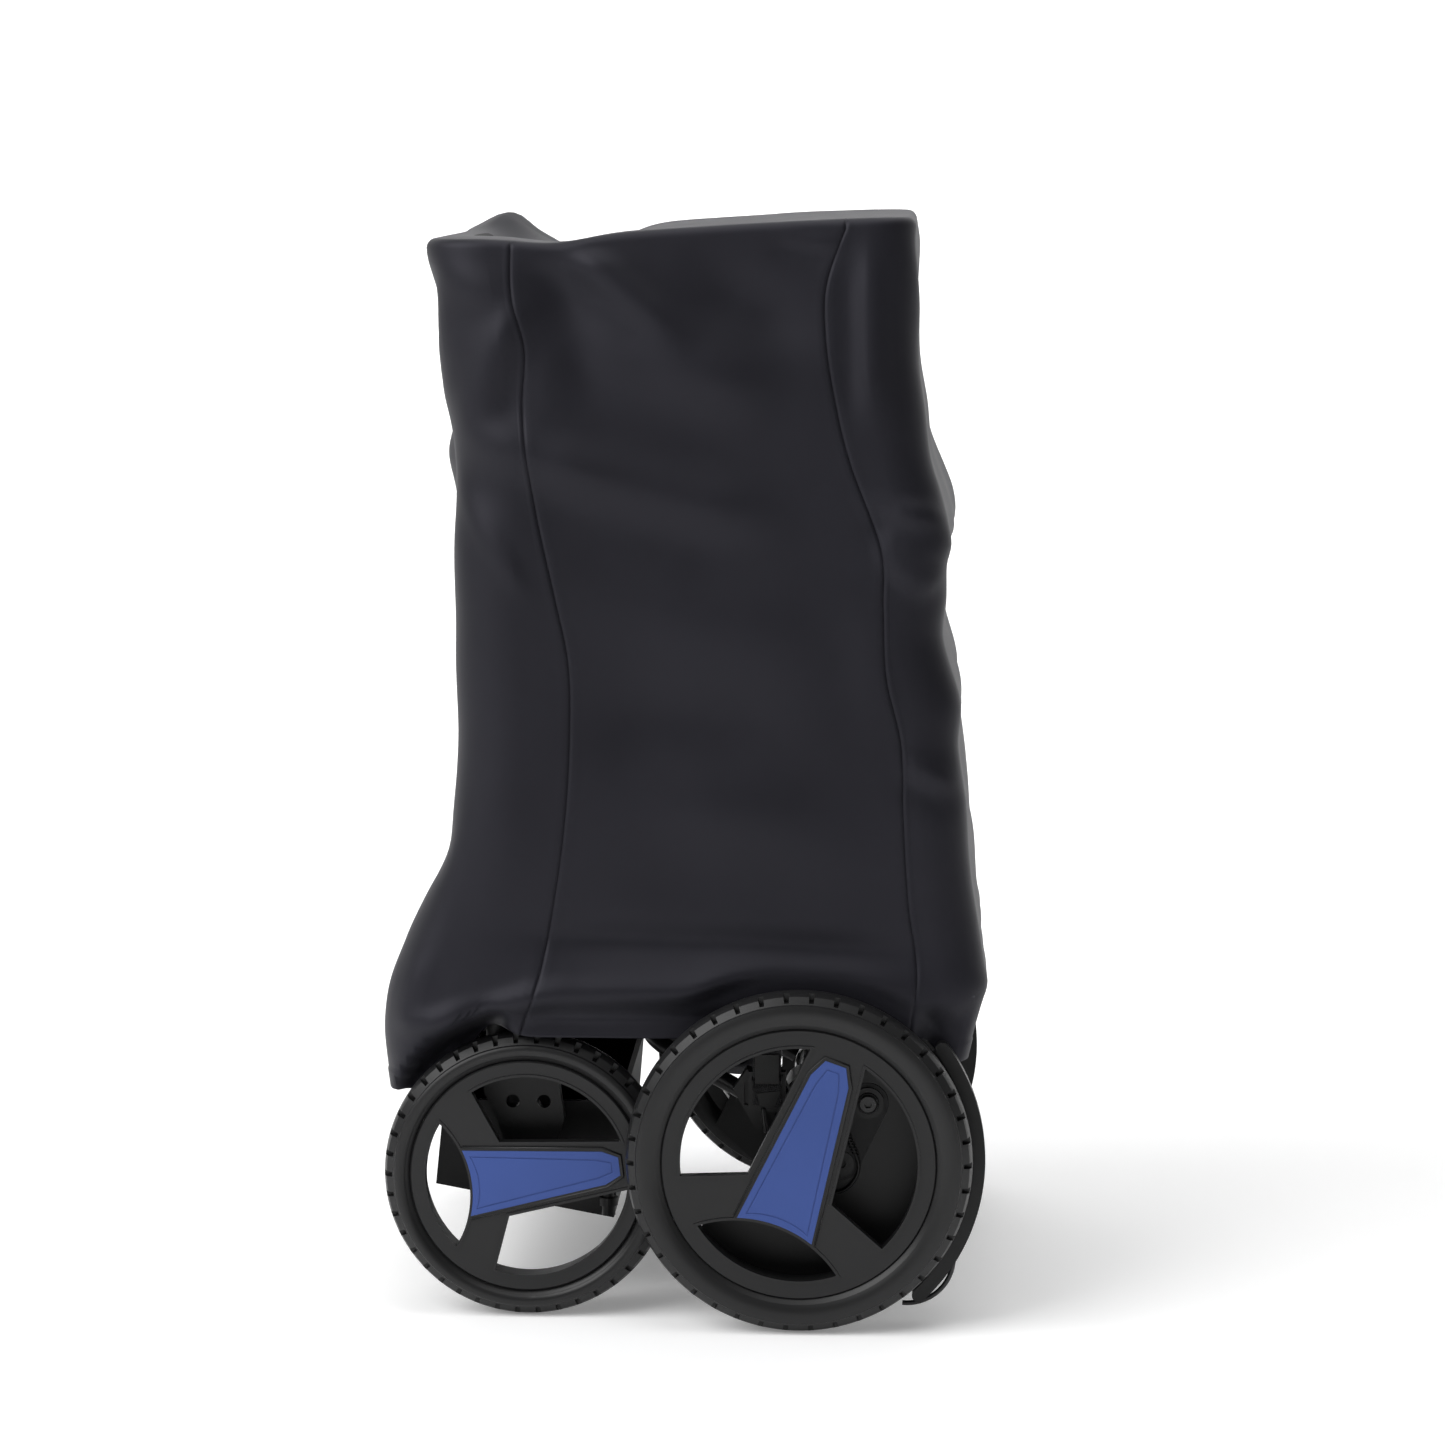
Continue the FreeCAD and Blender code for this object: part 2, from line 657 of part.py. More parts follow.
def make_fork(suffix, side):
    """A one-sided caster arm with a boss for the stub axle, two through holes and a swivel pin."""
    fork_y = slab_y(side, "Sizes.fork_inner_y", "Sizes.fork_thickness")
    body = new_body(f"caster_fork_{suffix}", x="Sizes.front_wheel_x", y=fork_y, z="Sizes.front_wheel_radius")
    blade = new_sketch(body, "XZ_Plane")
    polygon(blade, [(-42, 84), (24, 84), (30, 42), (19, 6), (-19, 6), (-30, 40), (-42, 66)])
    pad(body, blade, "Sizes.fork_thickness")
    boss = new_sketch(body, "XZ_Plane")
    circle(boss, 0, 0, 21)
    pad(body, boss, "Sizes.fork_thickness")
    holes = new_sketch(body, "XZ_Plane", -1)
    circle(holes, -16, 58, "Sizes.fork_hole_radius")
    circle(holes, 12, 58, "Sizes.fork_hole_radius")
    circle(holes, 0, 0, "Sizes.axle_radius + Sizes.running_clearance")
    pocket(body, holes, "Sizes.fork_thickness + 2", True)
    pin_x = size("swivel_x") - size("front_wheel_x")
    pin_y = front_line(side) - (-size("fork_inner_y") if side < 0 else size("fork_inner_y") + 16)
    pin = new_sketch(body, "XY_Plane", 84)
    circle(pin, pin_x, pin_y, "Sizes.swivel_pin_radius")
    pad(body, pin, 54)
    return keep(body)


def front_line(side):
    """The Y of the front legs and swivel pins."""
    return side * (size("front_slab_inner") + slab / 2)


def make_stub_axle(suffix, side):
    """A headed stub axle from the fork into the front wheel's hub."""
    inner = size("fork_inner_y")
    reach = size("front_wheel_y") + 10 - inner
    x = size("front_wheel_x")
    z = size("front_wheel_radius")
    out = V(0, side, 0)
    shank = rod(f"stub_shank_{suffix}", "Sizes.axle_radius", str(reach), x, side * inner, z, out)
    head = rod(f"stub_head_{suffix}", "9", "5", x, side * (inner - 5), z, out)
    return keep(combine("Fuse", f"stub_axle_{suffix}", head, shank))


for suffix, side in SIDES:
    make_fork(suffix, side)
    make_stub_axle(suffix, side)


def make_footrest():
    """An open tray between the front wheels, hung from the front cross tube by two arms."""
    half = 150
    body = new_body("footrest_tray", y=str(half))
    profile = new_sketch(body, "XZ_Plane")
    polygon(profile, [(-225, 176), (-233, 98), (-71, 68), (-62, 176)])
    pad(body, profile, 2 * half)
    for offset in (0, 2 * half - 6):
        hanger = new_sketch(body, "XZ_Plane", offset)
        polygon(hanger, [(-168, 170), (-128, 170), (cross.x + 13, cross.z), (cross.x - 13, cross.z)])
        pad(body, hanger, 6)
        eye = new_sketch(body, "XZ_Plane", offset)
        circle(eye, cross.x, cross.z, 15)
        pad(body, eye, 6)
    well = new_sketch(body, "XZ_Plane", 6)
    polygon(well, [(-219, 190), (-227, 103.5), (-74.5, 75), (-66, 190)])
    pocket(body, well, 2 * half - 12, True)
    ring = new_sketch(body, "XZ_Plane", -1)
    circle(ring, cross.x, cross.z, size("tube_radius") + 0.05)
    pocket(body, ring, 2 * half + 2, True)
    return keep(body)


make_footrest()

# ---------------------------------------------------------------- hoops, handle and brake

bar_run = bar - hinge
keep(hoop("handle_tube", size("handle_slab_inner") + slab / 2, bar_run.Length, 40, "Sizes.tube_radius", arm,
          "Sizes.hinge_x", "Sizes.hinge_z", turn_to(bar_run.x, bar_run.z)))

grip_half = size("grip_length") / 2
grip = rod("grip_foam", "Sizes.grip_radius", "Sizes.grip_length", bar.x, -grip_half, bar.z, across)
grip_bore = rod("grip_bore", "Sizes.tube_radius + Sizes.running_clearance", "Sizes.grip_length",
                bar.x, -grip_half, bar.z, across)
keep(combine("Cut", "handle_grip", grip, grip_bore))

hoop_run = V(size("cabin_hoop_x"), 0, size("cabin_hoop_z")) - hinge
keep(hoop("cabin_hoop", size("rear_slab_inner") + slab / 2, hoop_run.Length, 45, "Sizes.tube_radius",
          size("hinge_disc_radius") + 0.5, "Sizes.hinge_x", "Sizes.hinge_z", turn_to(hoop_run.x, hoop_run.z)))

basket_run = V(size("basket_bar_x"), 0, size("basket_bar_z")) - rear_foot
keep(hoop("basket_frame", 132, basket_run.Length, 30, 8, size("axle_tube_radius") + 1,
          "Sizes.rear_wheel_x", "Sizes.rear_wheel_radius", turn_to(basket_run.x, basket_run.z)))

keep(hoop("canopy_bow", size("canopy_half"), size("canopy_reach"), 50, 6, 0,
          "Sizes.canopy_pivot_x", "Sizes.canopy_pivot_z", 180))


def make_brake_pedal():
    """A foot lever on a collar round the axle tube."""
    width = 60
    body = new_body("brake_pedal", x="Sizes.rear_wheel_x", y=str(width / 2), z="Sizes.rear_wheel_radius")
    collar = new_sketch(body, "XZ_Plane")
    circle(collar, 0, 0, "Sizes.axle_tube_radius + 7")
    pad(body, collar, width)
    lever = new_sketch(body, "XZ_Plane")
    polygon(lever, [(0, 6), (70, -16), (122, -22), (122, -32), (66, -28), (0, -12)])
    pad(body, lever, width)
    bore = new_sketch(body, "XZ_Plane", -1)
    circle(bore, 0, 0, "Sizes.axle_tube_radius + Sizes.running_clearance")
    pocket(body, bore, width + 2, True)
    for step in range(5):
        rib = new_sketch(body, "XZ_Plane", 4)
        polygon(rib, rectangle(82 + 8 * step, -23, 2, 5.2))
        pocket(body, rib, width - 8, True)
    return keep(body)


make_brake_pedal()

# ---------------------------------------------------------------- webbing and folded cloth

STRAP_X = 58
STRAP_WIDTH = 25


def block(label, y_outer, thickness, points):
    """A flat piece standing in the XZ plane on the stroller's left side."""
    body = new_body(label, y=str(-(y_outer - thickness)))
    sketch = new_sketch(body, "XZ_Plane")
    polygon(sketch, points)
    pad(body, sketch, thickness)
    return body


keep(block("strap", 231, 2, rectangle(STRAP_X, 192, STRAP_WIDTH, 130)))
keep(block("strap_label", 232, 0.8, rectangle(STRAP_X + 2, 212, STRAP_WIDTH - 4, 26)))

buckle = block("buckle", 229, 9, rectangle(STRAP_X - 4, 186, STRAP_WIDTH + 8, 36))
slot = new_sketch(buckle, "XZ_Plane", -1)
polygon(slot, rectangle(STRAP_X - 1, 214, STRAP_WIDTH + 2, 4))
pocket(buckle, slot, 12, True)
keep(buckle)

BRACKET = [(78, 140), (104, 176), (84, 214), (52, 222), (40, 204), (62, 164)]
bracket = block("strap_bracket", 219.5, 18, BRACKET)
seat = new_sketch(bracket, "XZ_Plane", -1)
circle(seat, rear_x, rear_z, size("axle_tube_radius") + 0.05)
pocket(bracket, seat, 20, True)
for step in range(4):
    rib = new_sketch(bracket, "XZ_Plane", 18)
    polygon(rib, rectangle(50 + 9 * step, 190 - 3 * step, 4, 20))
    pocket(bracket, rib, 3)
keep(bracket)

BASKET = [(-20, 206), (40, 180), (76, 186), (84, 226), (50, 250), (-16, 254)]
keep(block("storage_basket", 120, 240, BASKET))

CABIN = [(150, 385), (-60, 400), (-165, 520), (-186, 640), (-182, 800), (-130, 884), (128, 884), (160, 700)]


def inset(points, gap):
    """An outline drawn in towards its middle by about a gap."""
    middle_x = sum(p[0] for p in points) / len(points)
    middle_z = sum(p[1] for p in points) / len(points)
    drawn = []
    for x, z in points:
        reach = math.hypot(x - middle_x, z - middle_z)
        keep_share = 1 - gap / reach
        drawn.append((middle_x + (x - middle_x) * keep_share, middle_z + (z - middle_z) * keep_share))
    return drawn


cabin_half = size("cabin_half")
cabin = block("cabin_shell", cabin_half, 2 * cabin_half, CABIN)
space = new_sketch(cabin, "XZ_Plane", size("cabin_cloth"))
polygon(space, inset(CABIN, 6))
pocket(cabin, space, 2 * (cabin_half - size("cabin_cloth")), True)
keep(cabin)

keep(block("cabin_floor", 138, 276, [(96, 420), (106, 420), (106, 860), (96, 860)]))
keep(block("cushion", 132, 264, [(58, 424), (95, 424), (95, 850), (58, 850)]))

CANOPY = [(140, 894), (140, 905), (-90, 920), (-98, 912), (-90, 896)]
keep(block("canopy_cloth", 116, 232, CANOPY))

# ---------------------------------------------------------------- travel cover

# Each level of the cover: height, front edge, back edge and half width.
LEVELS = [
    (190, -266, 247, 238),
    (255, -270, 256, 243),
    (330, -250, 260, 245),
    (420, -217, 247, 244),
    (560, -206, 238, 241),
    (690, -210, 234, 239),
    (800, -216, 209, 234),
    (930, -230, 200, 227),
]
TOP_LEVEL = (-228, 198, 224)


def level_sketch(body, height, front, back, half, skin):
    """A rounded rectangle lying level at a height, drawn in by a skin thickness."""
    sketch = new_sketch(body, "XY_Plane", height)
    bow = size("cover_front_corner") - skin
    heel = size("cover_back_corner") - skin
    bow_tuck = bow * (1 - math.sqrt(0.5))
    heel_tuck = heel * (1 - math.sqrt(0.5))
    front += skin
    back -= skin
    half -= skin
    corners = [
        ((front, -half + bow), (front + bow_tuck, -half + bow_tuck), (front + bow, -half)),
        ((back - heel, -half), (back - heel_tuck, -half + heel_tuck), (back, -half + heel)),
        ((back, half - heel), (back - heel_tuck, half - heel_tuck), (back - heel, half)),
        ((front + bow, half), (front + bow_tuck, half - bow_tuck), (front, half - bow)),
    ]
    pieces = []
    for index, arc in enumerate(corners):
        pieces.append(arc)
        pieces.append((arc[2], corners[(index + 1) % 4][0]))
    outline(sketch, pieces)
    return sketch


def cover_form(label, skin, top):
    """The cover's closed form, drawn in by a skin thickness."""
    body = new_body(label)
    levels = LEVELS + [(top, *TOP_LEVEL)]
    sketches = [level_sketch(body, *level, skin) for level in levels]
    loft = body.newObject("PartDesign::AdditiveLoft", "Loft")
    loft.Profile = sketches[0]
    loft.Sections = sketches[1:]
    return body


skin = size("cover_cloth")
outside = cover_form("cover_outside", 0, size("cover_top"))
inside = cover_form("cover_inside", skin, size("cover_top") - skin)
shell = combine("Cut", "cover_skin", outside, inside)
for suffix, side in SIDES:
    gap = doc.addObject("Part::Box", f"wheel_gap_{suffix}")
    bind(gap, Length="700", Width="150", Height="Sizes.side_hem - 100")
    gap.Placement.Base = V(-350, size("flap_half") if side > 0 else -size("flap_half") - 150, 100)
    shell = combine("Cut", f"cover_open_{suffix}", shell, gap)

SEAM_TOP = 958
FRONT_SEAM = [(-155, 100), (-131, 302), (-103, 500), (-114, 642), (-140, 790), (-152, SEAM_TOP)]
BACK_SEAM = [(203, 100), (189, 460), (168, 687), (142, 760), (120, 880), (138, SEAM_TOP)]
FAR = 400


def panel_of_cover(label, points, near, far):
    """The stretch of the cover's skin inside an XZ outline, between two Y planes."""
    body = new_body(f"{label}_region", y=str(far))
    sketch = new_sketch(body, "XZ_Plane")
    polygon(sketch, points)
    pad(body, sketch, far - near)
    return keep(combine("Common", label, shell, body))


side_outline = FRONT_SEAM + BACK_SEAM[::-1]
panel_of_cover("cover_side_left", side_outline, -FAR, 0)
panel_of_cover("cover_side_right", side_outline, 0, FAR)
panel_of_cover("cover_front", [(-FAR, 100), (-FAR, SEAM_TOP)] + FRONT_SEAM[::-1], -FAR, FAR)
back_hem = size("back_hem")
back_outline = [(203, back_hem)] + BACK_SEAM[1:] + [(FAR, SEAM_TOP), (FAR, back_hem)]
panel_of_cover("cover_back", back_outline, -FAR, FAR)
panel_of_cover("cover_top", rectangle(-FAR, SEAM_TOP, 2 * FAR, 100), -FAR, FAR)

# ---------------------------------------------------------------- check and write

doc.recompute()
failed = [item.Label for item in doc.Objects if "Invalid" in item.State or "Error" in item.State]
if failed:
    raise RuntimeError(f"failed objects: {failed}")
for item in nodes:
    if item.Shape.isNull() or not item.Shape.isValid():
        raise RuntimeError(f"bad shape: {item.Label}")
    if len(item.Shape.Solids) != 1:
        raise RuntimeError(f"{item.Label} has {len(item.Shape.Solids)} solids")

os.makedirs("parts", exist_ok=True)
for item in nodes:
    item.Shape.exportStep(f"parts/{item.Label}.step")
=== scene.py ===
import json
import math

import bmesh
import bpy
import numpy as np
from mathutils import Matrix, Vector, geometry


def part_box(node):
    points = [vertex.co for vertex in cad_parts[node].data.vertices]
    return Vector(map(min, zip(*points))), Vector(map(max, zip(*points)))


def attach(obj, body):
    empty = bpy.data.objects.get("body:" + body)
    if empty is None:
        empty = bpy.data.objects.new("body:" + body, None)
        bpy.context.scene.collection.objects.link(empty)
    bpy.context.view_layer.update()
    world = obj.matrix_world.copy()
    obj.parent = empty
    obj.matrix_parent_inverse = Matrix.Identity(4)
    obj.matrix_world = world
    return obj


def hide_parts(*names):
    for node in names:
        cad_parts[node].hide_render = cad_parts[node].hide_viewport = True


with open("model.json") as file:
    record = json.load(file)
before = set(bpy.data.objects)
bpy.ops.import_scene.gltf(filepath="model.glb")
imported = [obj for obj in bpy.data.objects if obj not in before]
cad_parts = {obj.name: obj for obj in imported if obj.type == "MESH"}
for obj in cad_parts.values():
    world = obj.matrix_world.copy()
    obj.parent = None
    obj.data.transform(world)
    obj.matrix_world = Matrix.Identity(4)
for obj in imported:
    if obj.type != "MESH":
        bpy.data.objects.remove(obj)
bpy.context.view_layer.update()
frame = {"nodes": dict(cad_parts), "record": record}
record = frame["record"]
nodes = frame["nodes"]
SIDES = (("left", -1), ("right", 1))


# ---------------------------------------------------------------- small helpers

def smooth(value):
    """A smooth step from 0 to 1."""
    value = np.clip(value, 0.0, 1.0)
    return value * value * (3 - 2 * value)


def bell(value, width):
    """A smooth bump of height 1 and about this half width."""
    return np.exp(-(value / width) ** 2)


def curve_through(points, at):
    """A smooth curve through given points (place, value), read at any place."""
    place = np.array([p[0] for p in points])
    value = np.array([p[1] for p in points])
    slope = np.gradient(value, place)
    at = np.clip(at, place[0], place[-1])
    index = np.clip(np.searchsorted(place, at) - 1, 0, len(place) - 2)
    span = place[index + 1] - place[index]
    t = (at - place[index]) / span
    start = value[index] * (1 + 2 * t) * (1 - t) ** 2 + slope[index] * span * t * (1 - t) ** 2
    end = value[index + 1] * t * t * (3 - 2 * t) + slope[index + 1] * span * t * t * (t - 1)
    return start + end


def smooth_line(points, count):
    """A smooth line of even parameter steps through points."""
    place = np.arange(len(points))
    at = np.linspace(0, len(points) - 1, count)
    axes = [curve_through(list(zip(place, [p[axis] for p in points])), at) for axis in range(3)]
    return [Vector(spot) for spot in np.stack(axes, axis=1)]


def new_piece(name, vertices, faces, body, material):
    """A mesh piece that rides on a body."""
    mesh = bpy.data.meshes.new(name)
    mesh.from_pydata([tuple(v) for v in vertices], [], [tuple(f) for f in faces])
    mesh.update()
    piece = bpy.data.objects.new(name, mesh)
    bpy.context.scene.collection.objects.link(piece)
    mesh.materials.append(material)
    mesh.shade_smooth()
    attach(piece, body)
    return piece


def tube_piece(name, points, radius, body, material, sides=10, closed=False):
    """A round tube along points, with capped ends."""
    points = [Vector(p) for p in points]
    count = len(points)
    rings = []
    side_axis = None
    for index, point in enumerate(points):
        if closed:
            run = points[(index + 1) % count] - points[index - 1]
        else:
            run = points[min(index + 1, count - 1)] - points[max(index - 1, 0)]
        run.normalize()
        if side_axis is None:
            side_axis = run.orthogonal().normalized()
        side_axis = (side_axis - run * side_axis.dot(run)).normalized()
        other = run.cross(side_axis)
        ring = []
        for step in range(sides):
            turn = 2 * math.pi * step / sides
            ring.append(point + (side_axis * math.cos(turn) + other * math.sin(turn)) * radius)
        rings.append(ring)
    vertices = [v for ring in rings for v in ring]
    faces = []
    for index in range(count if closed else count - 1):
        a = index * sides
        b = (index + 1) % count * sides
        for step in range(sides):
            after = (step + 1) % sides
            faces.append((a + step, a + after, b + after, b + step))
    if not closed:
        faces.append(tuple(range(sides - 1, -1, -1)))
        faces.append(tuple((count - 1) * sides + step for step in range(sides)))
    return new_piece(name, vertices, faces, body, material)


# ---------------------------------------------------------------- materials

def new_material(name, colour, roughness, metallic=0.0, sheen=0.0, specular=0.5):
    """A material with its even values on the shader's own sockets."""
    material = bpy.data.materials.new(name)
    material.use_nodes = True
    shader = material.node_tree.nodes["Principled BSDF"]
    shader.inputs["Base Color"].default_value = (*colour, 1)
    shader.inputs["Roughness"].default_value = roughness
    shader.inputs["Metallic"].default_value = metallic
    shader.inputs["Sheen Weight"].default_value = sheen
    shader.inputs["Specular IOR Level"].default_value = specular
    return material, shader


def add_node(material, kind, **values):
    """A shader node with its inputs or properties set."""
    node = material.node_tree.nodes.new(kind)
    for key, value in values.items():
        name = key.replace("_", " ")
        if name in node.inputs:
            node.inputs[name].default_value = value
        else:
            setattr(node, key, value)
    return node


def join(material, source, output, target, socket):
    """A link between two nodes."""
    material.node_tree.links.new(source.outputs[output], target.inputs[socket])


def object_space(material):
    """Object coordinates, which are the row frame's metres."""
    return add_node(material, "ShaderNodeTexCoord")


def grain(material, shader, scale, strength, distance, detail=4.0, colour=None, rough=None):
    """Fine bump from noise, which also varies the colour and the roughness."""
    place = object_space(material)
    fine = add_node(material, "ShaderNodeTexNoise", Scale=scale, Detail=detail, Roughness=0.6)
    join(material, place, "Object", fine, "Vector")
    bump = add_node(material, "ShaderNodeBump", Strength=strength, Distance=distance)
    join(material, fine, "Fac", bump, "Height")
    join(material, bump, "Normal", shader, "Normal")
    broad = add_node(material, "ShaderNodeTexNoise", Scale=7.0, Detail=3.0, Roughness=0.55)
    join(material, place, "Object", broad, "Vector")
    if colour:
        ramp = add_node(material, "ShaderNodeValToRGB")
        ramp.color_ramp.elements[0].position = 0.3
        ramp.color_ramp.elements[0].color = (*colour[0], 1)
        ramp.color_ramp.elements[1].position = 0.75
        ramp.color_ramp.elements[1].color = (*colour[1], 1)
        join(material, broad, "Fac", ramp, "Fac")
        join(material, ramp, "Color", shader, "Base Color")
    if rough:
        spread = add_node(material, "ShaderNodeMapRange", To_Min=rough[0], To_Max=rough[1])
        join(material, broad, "Fac", spread, "Value")
        join(material, spread, "Result", shader, "Roughness")
    return bump


def shades(value, blue=1.1):
    """Two near-black shades, a little apart, for a colour ramp."""
    low = value * 0.85
    high = value * 1.18
    return ((low, low, low * blue), (high, high, high * blue))


def make_cover_cloth():
    """Matte laminated cloth: fine grain, soft sheen, slight changes of tone."""
    material, shader = new_material("cover_cloth", (0.01, 0.01, 0.012), 0.5, sheen=0.02, specular=0.3)
    shader.inputs["Sheen Roughness"].default_value = 0.4
    shader.inputs["Specular Tint"].default_value = (0.88, 0.86, 1.0, 1)
    grain(material, shader, 1700.0, 0.14, 0.0005, colour=shades(0.0078, 1.35), rough=(0.50, 0.60))
    return material


def make_tyre_rubber():
    """Dark rubber with a fine moulded grain."""
    material, shader = new_material("tyre_rubber", (0.012, 0.012, 0.013), 0.4, specular=0.35)
    grain(material, shader, 900.0, 0.12, 0.0004, colour=shades(0.011, 1.04), rough=(0.34, 0.44))
    return material


def make_moulded(name, value, rough):
    """Black moulded plastic with a fine spark-eroded texture."""
    material, shader = new_material(name, (value, value, value), 0.5, specular=0.32)
    grain(material, shader, 1500.0, 0.1, 0.0003, detail=2.0, colour=shades(value, 1.05), rough=rough)
    return material


def make_blue_panel():
    """The satin blue plastic of the wheel panels."""
    material, shader = new_material("panel_blue", (0.05, 0.09, 0.33), 0.42, specular=0.4)
    grain(material, shader, 1300.0, 0.08, 0.0003, detail=2.0,
          colour=((0.030, 0.067, 0.258), (0.036, 0.078, 0.298)), rough=(0.42, 0.50))
    return material


def make_frame_paint():
    """Black powder coat under a thin gloss."""
    material, shader = new_material("frame_paint", (0.010, 0.010, 0.011), 0.4, specular=0.35)
    shader.inputs["Coat Weight"].default_value = 0.25
    shader.inputs["Coat Roughness"].default_value = 0.3
    grain(material, shader, 1900.0, 0.12, 0.0003, colour=shades(0.010), rough=(0.34, 0.44))
    return material


def make_steel():
    """Zinc-plated steel."""
    material, shader = new_material("zinc_steel", (0.5, 0.5, 0.51), 0.35, metallic=1.0)
    grain(material, shader, 800.0, 0.05, 0.0002,
          colour=((0.42, 0.42, 0.43), (0.58, 0.58, 0.59)), rough=(0.28, 0.42))
    return material


def make_woven(name, value, thread, blue=1.1):
    """Plain weave: two crossed sets of threads as bump and shade."""
    material, shader = new_material(name, (value, value, value * blue), 0.8, sheen=0.15)
    place = object_space(material)
    total = add_node(material, "ShaderNodeMath", operation="ADD")
    for index, axis in enumerate(((1, 0, 0.35), (0.35, 0.6, 1))):
        turn = add_node(material, "ShaderNodeVectorMath", operation="DOT_PRODUCT")
        turn.inputs[1].default_value = axis
        join(material, place, "Object", turn, 0)
        wave = add_node(material, "ShaderNodeMath", operation="MULTIPLY")
        wave.inputs[1].default_value = 2 * math.pi / thread
        join(material, turn, "Value", wave, 0)
        sine = add_node(material, "ShaderNodeMath", operation="SINE")
        join(material, wave, "Value", sine, 0)
        join(material, sine, "Value", total, index)
    ramp = add_node(material, "ShaderNodeValToRGB")
    low, high = shades(value, blue)
    ramp.color_ramp.elements[0].color = (*low, 1)
    ramp.color_ramp.elements[1].color = (*high, 1)
    join(material, total, "Value", ramp, "Fac")
    join(material, ramp, "Color", shader, "Base Color")
    bump = add_node(material, "ShaderNodeBump", Strength=0.35, Distance=0.0004)
    join(material, total, "Value", bump, "Height")
    join(material, bump, "Normal", shader, "Normal")
    return material


COVER = make_cover_cloth()
# Near-black thread for the seams and the zip, also used for the sheets of painted shade behind the guard's
# lugs and round its screws.
THREAD_AND_SHADE, thread_shader = new_material("seam_thread_and_painted_shade", (0.008, 0.008, 0.009), 0.7)
grain(THREAD_AND_SHADE, thread_shader, 2500.0, 0.3, 0.0003, colour=shades(0.008))
TYRE = make_tyre_rubber()
RIM = make_moulded("rim_plastic", 0.010, (0.27, 0.36))
PLASTIC = make_moulded("moulded_black", 0.006, (0.38, 0.50))
BLUE = make_blue_panel()
PAINT = make_frame_paint()
STEEL = make_steel()
FOAM = make_moulded("grip_foam", 0.010, (0.75, 0.9))
CABIN = make_woven("cabin_weave", 0.022, 0.0011, 1.3)
WEBBING = make_woven("webbing_weave", 0.014, 0.0018)
LABEL = make_woven("label_weave", 0.045, 0.0007, 1.0)

SLOT_MATERIALS = {
    "tyre": TYRE, "wheel_plastic": RIM, "accent_blue": BLUE, "steel": STEEL, "frame_paint": PAINT,
    "black_plastic": PLASTIC, "grip_foam": FOAM, "cabin_fabric": CABIN, "webbing": WEBBING,
    "label_cloth": LABEL, "cover_fabric": COVER,
}


# ---------------------------------------------------------------- carried-over CAD nodes

EDGE_WIDTHS = {"wheel_plastic": 0.0021, "black_plastic": 0.0011, "accent_blue": 0.0010, "tyre": 0.0007}


def dress_cad_nodes():
    """Each node gets its slot's material and rounded edges."""
    for entry in record["subparts"]:
        node = nodes[entry["node"]]
        material = SLOT_MATERIALS[entry["material_slot"]]
        node.data.materials.clear()
        node.data.materials.append(material)
        bevel = node.modifiers.new("edges", "BEVEL")
        bevel.width = EDGE_WIDTHS.get(entry["material_slot"], 0.0006)
        bevel.segments = 2
        bevel.limit_method = "ANGLE"
        bevel.angle_limit = math.radians(40)
        bevel.harden_normals = True


dress_cad_nodes()


# ---------------------------------------------------------------- wheel trims and guard details

TRIM_GAP = 0.0028
TRIM_SINK = 0.0008
TRIM_RADIUS = 0.0012


def panel_trim_line(node, gap):
    """The line of a wheel panel's raised lip: round its sides and narrow end, a gap outside its face."""
    points = np.array([v.co for v in nodes[node].data.vertices])
    reach = np.abs(points[:, 1]).max()
    face = points[np.abs(points[:, 1]) > reach - 0.0015][:, [0, 2]]
    hull = face[geometry.convex_hull_2d([Vector(p) for p in face])]
    keep = [hull[0]]
    for point in hull[1:]:
        if np.linalg.norm(point - keep[-1]) > 0.004:
            keep.append(point)
    hull = np.array(keep)
    lengths = np.linalg.norm(np.roll(hull, -1, axis=0) - hull, axis=1)
    # The two long sides are the longest edges, and the broad end is the next.
    broad_end = int(np.argsort(lengths)[-3])
    hull = np.roll(hull, -broad_end - 1, axis=0)
    middle_point = hull.mean(axis=0)
    line = []
    for index, point in enumerate(hull):
        before = point - hull[max(index - 1, 0)]
        after = hull[min(index + 1, len(hull) - 1)] - point
        out = np.zeros(2)
        for run in (before, after):
            if np.linalg.norm(run) > 0:
                normal = np.array([run[1], -run[0]]) / np.linalg.norm(run)
                out = out + normal * np.sign(normal @ (point - middle_point))
        line.append(point + out / np.linalg.norm(out) * gap)
    return line, reach


def make_panel_trims():
    """The raised lip of the rim round each blue panel."""
    for end in ("rear", "front"):
        for suffix, side in SIDES:
            line, reach = panel_trim_line(f"{end}_panel_{suffix}", TRIM_GAP)
            points = [(x, side * (reach - TRIM_SINK), z) for x, z in line]
            body = f"{end}_wheel_{suffix}"
            tube_piece(f"{end}_panel_trim_{suffix}", points, TRIM_RADIUS, body, RIM)


def plate(name, outline, inner, outer, body, material, side):
    """A flat plate between two distances from the middle plane, with rounded edges."""
    count = len(outline)
    vertices = [(x, side * inner, z) for x, z in outline] + [(x, side * outer, z) for x, z in outline]
    faces = [tuple(range(count)), tuple(reversed(range(count, 2 * count)))]
    faces += [(i, (i + 1) % count, count + (i + 1) % count, count + i) for i in range(count)]
    piece = new_piece(name, vertices, faces, body, material)
    mesh = bmesh.new()
    mesh.from_mesh(piece.data)
    bmesh.ops.recalc_face_normals(mesh, faces=mesh.faces)
    mesh.to_mesh(piece.data)
    mesh.free()
    bevel = piece.modifiers.new("edges", "BEVEL")
    bevel.width = min(0.0008, (outer - inner) / 3)
    bevel.segments = 2
    bevel.limit_method = "ANGLE"
    bevel.harden_normals = True
    return piece


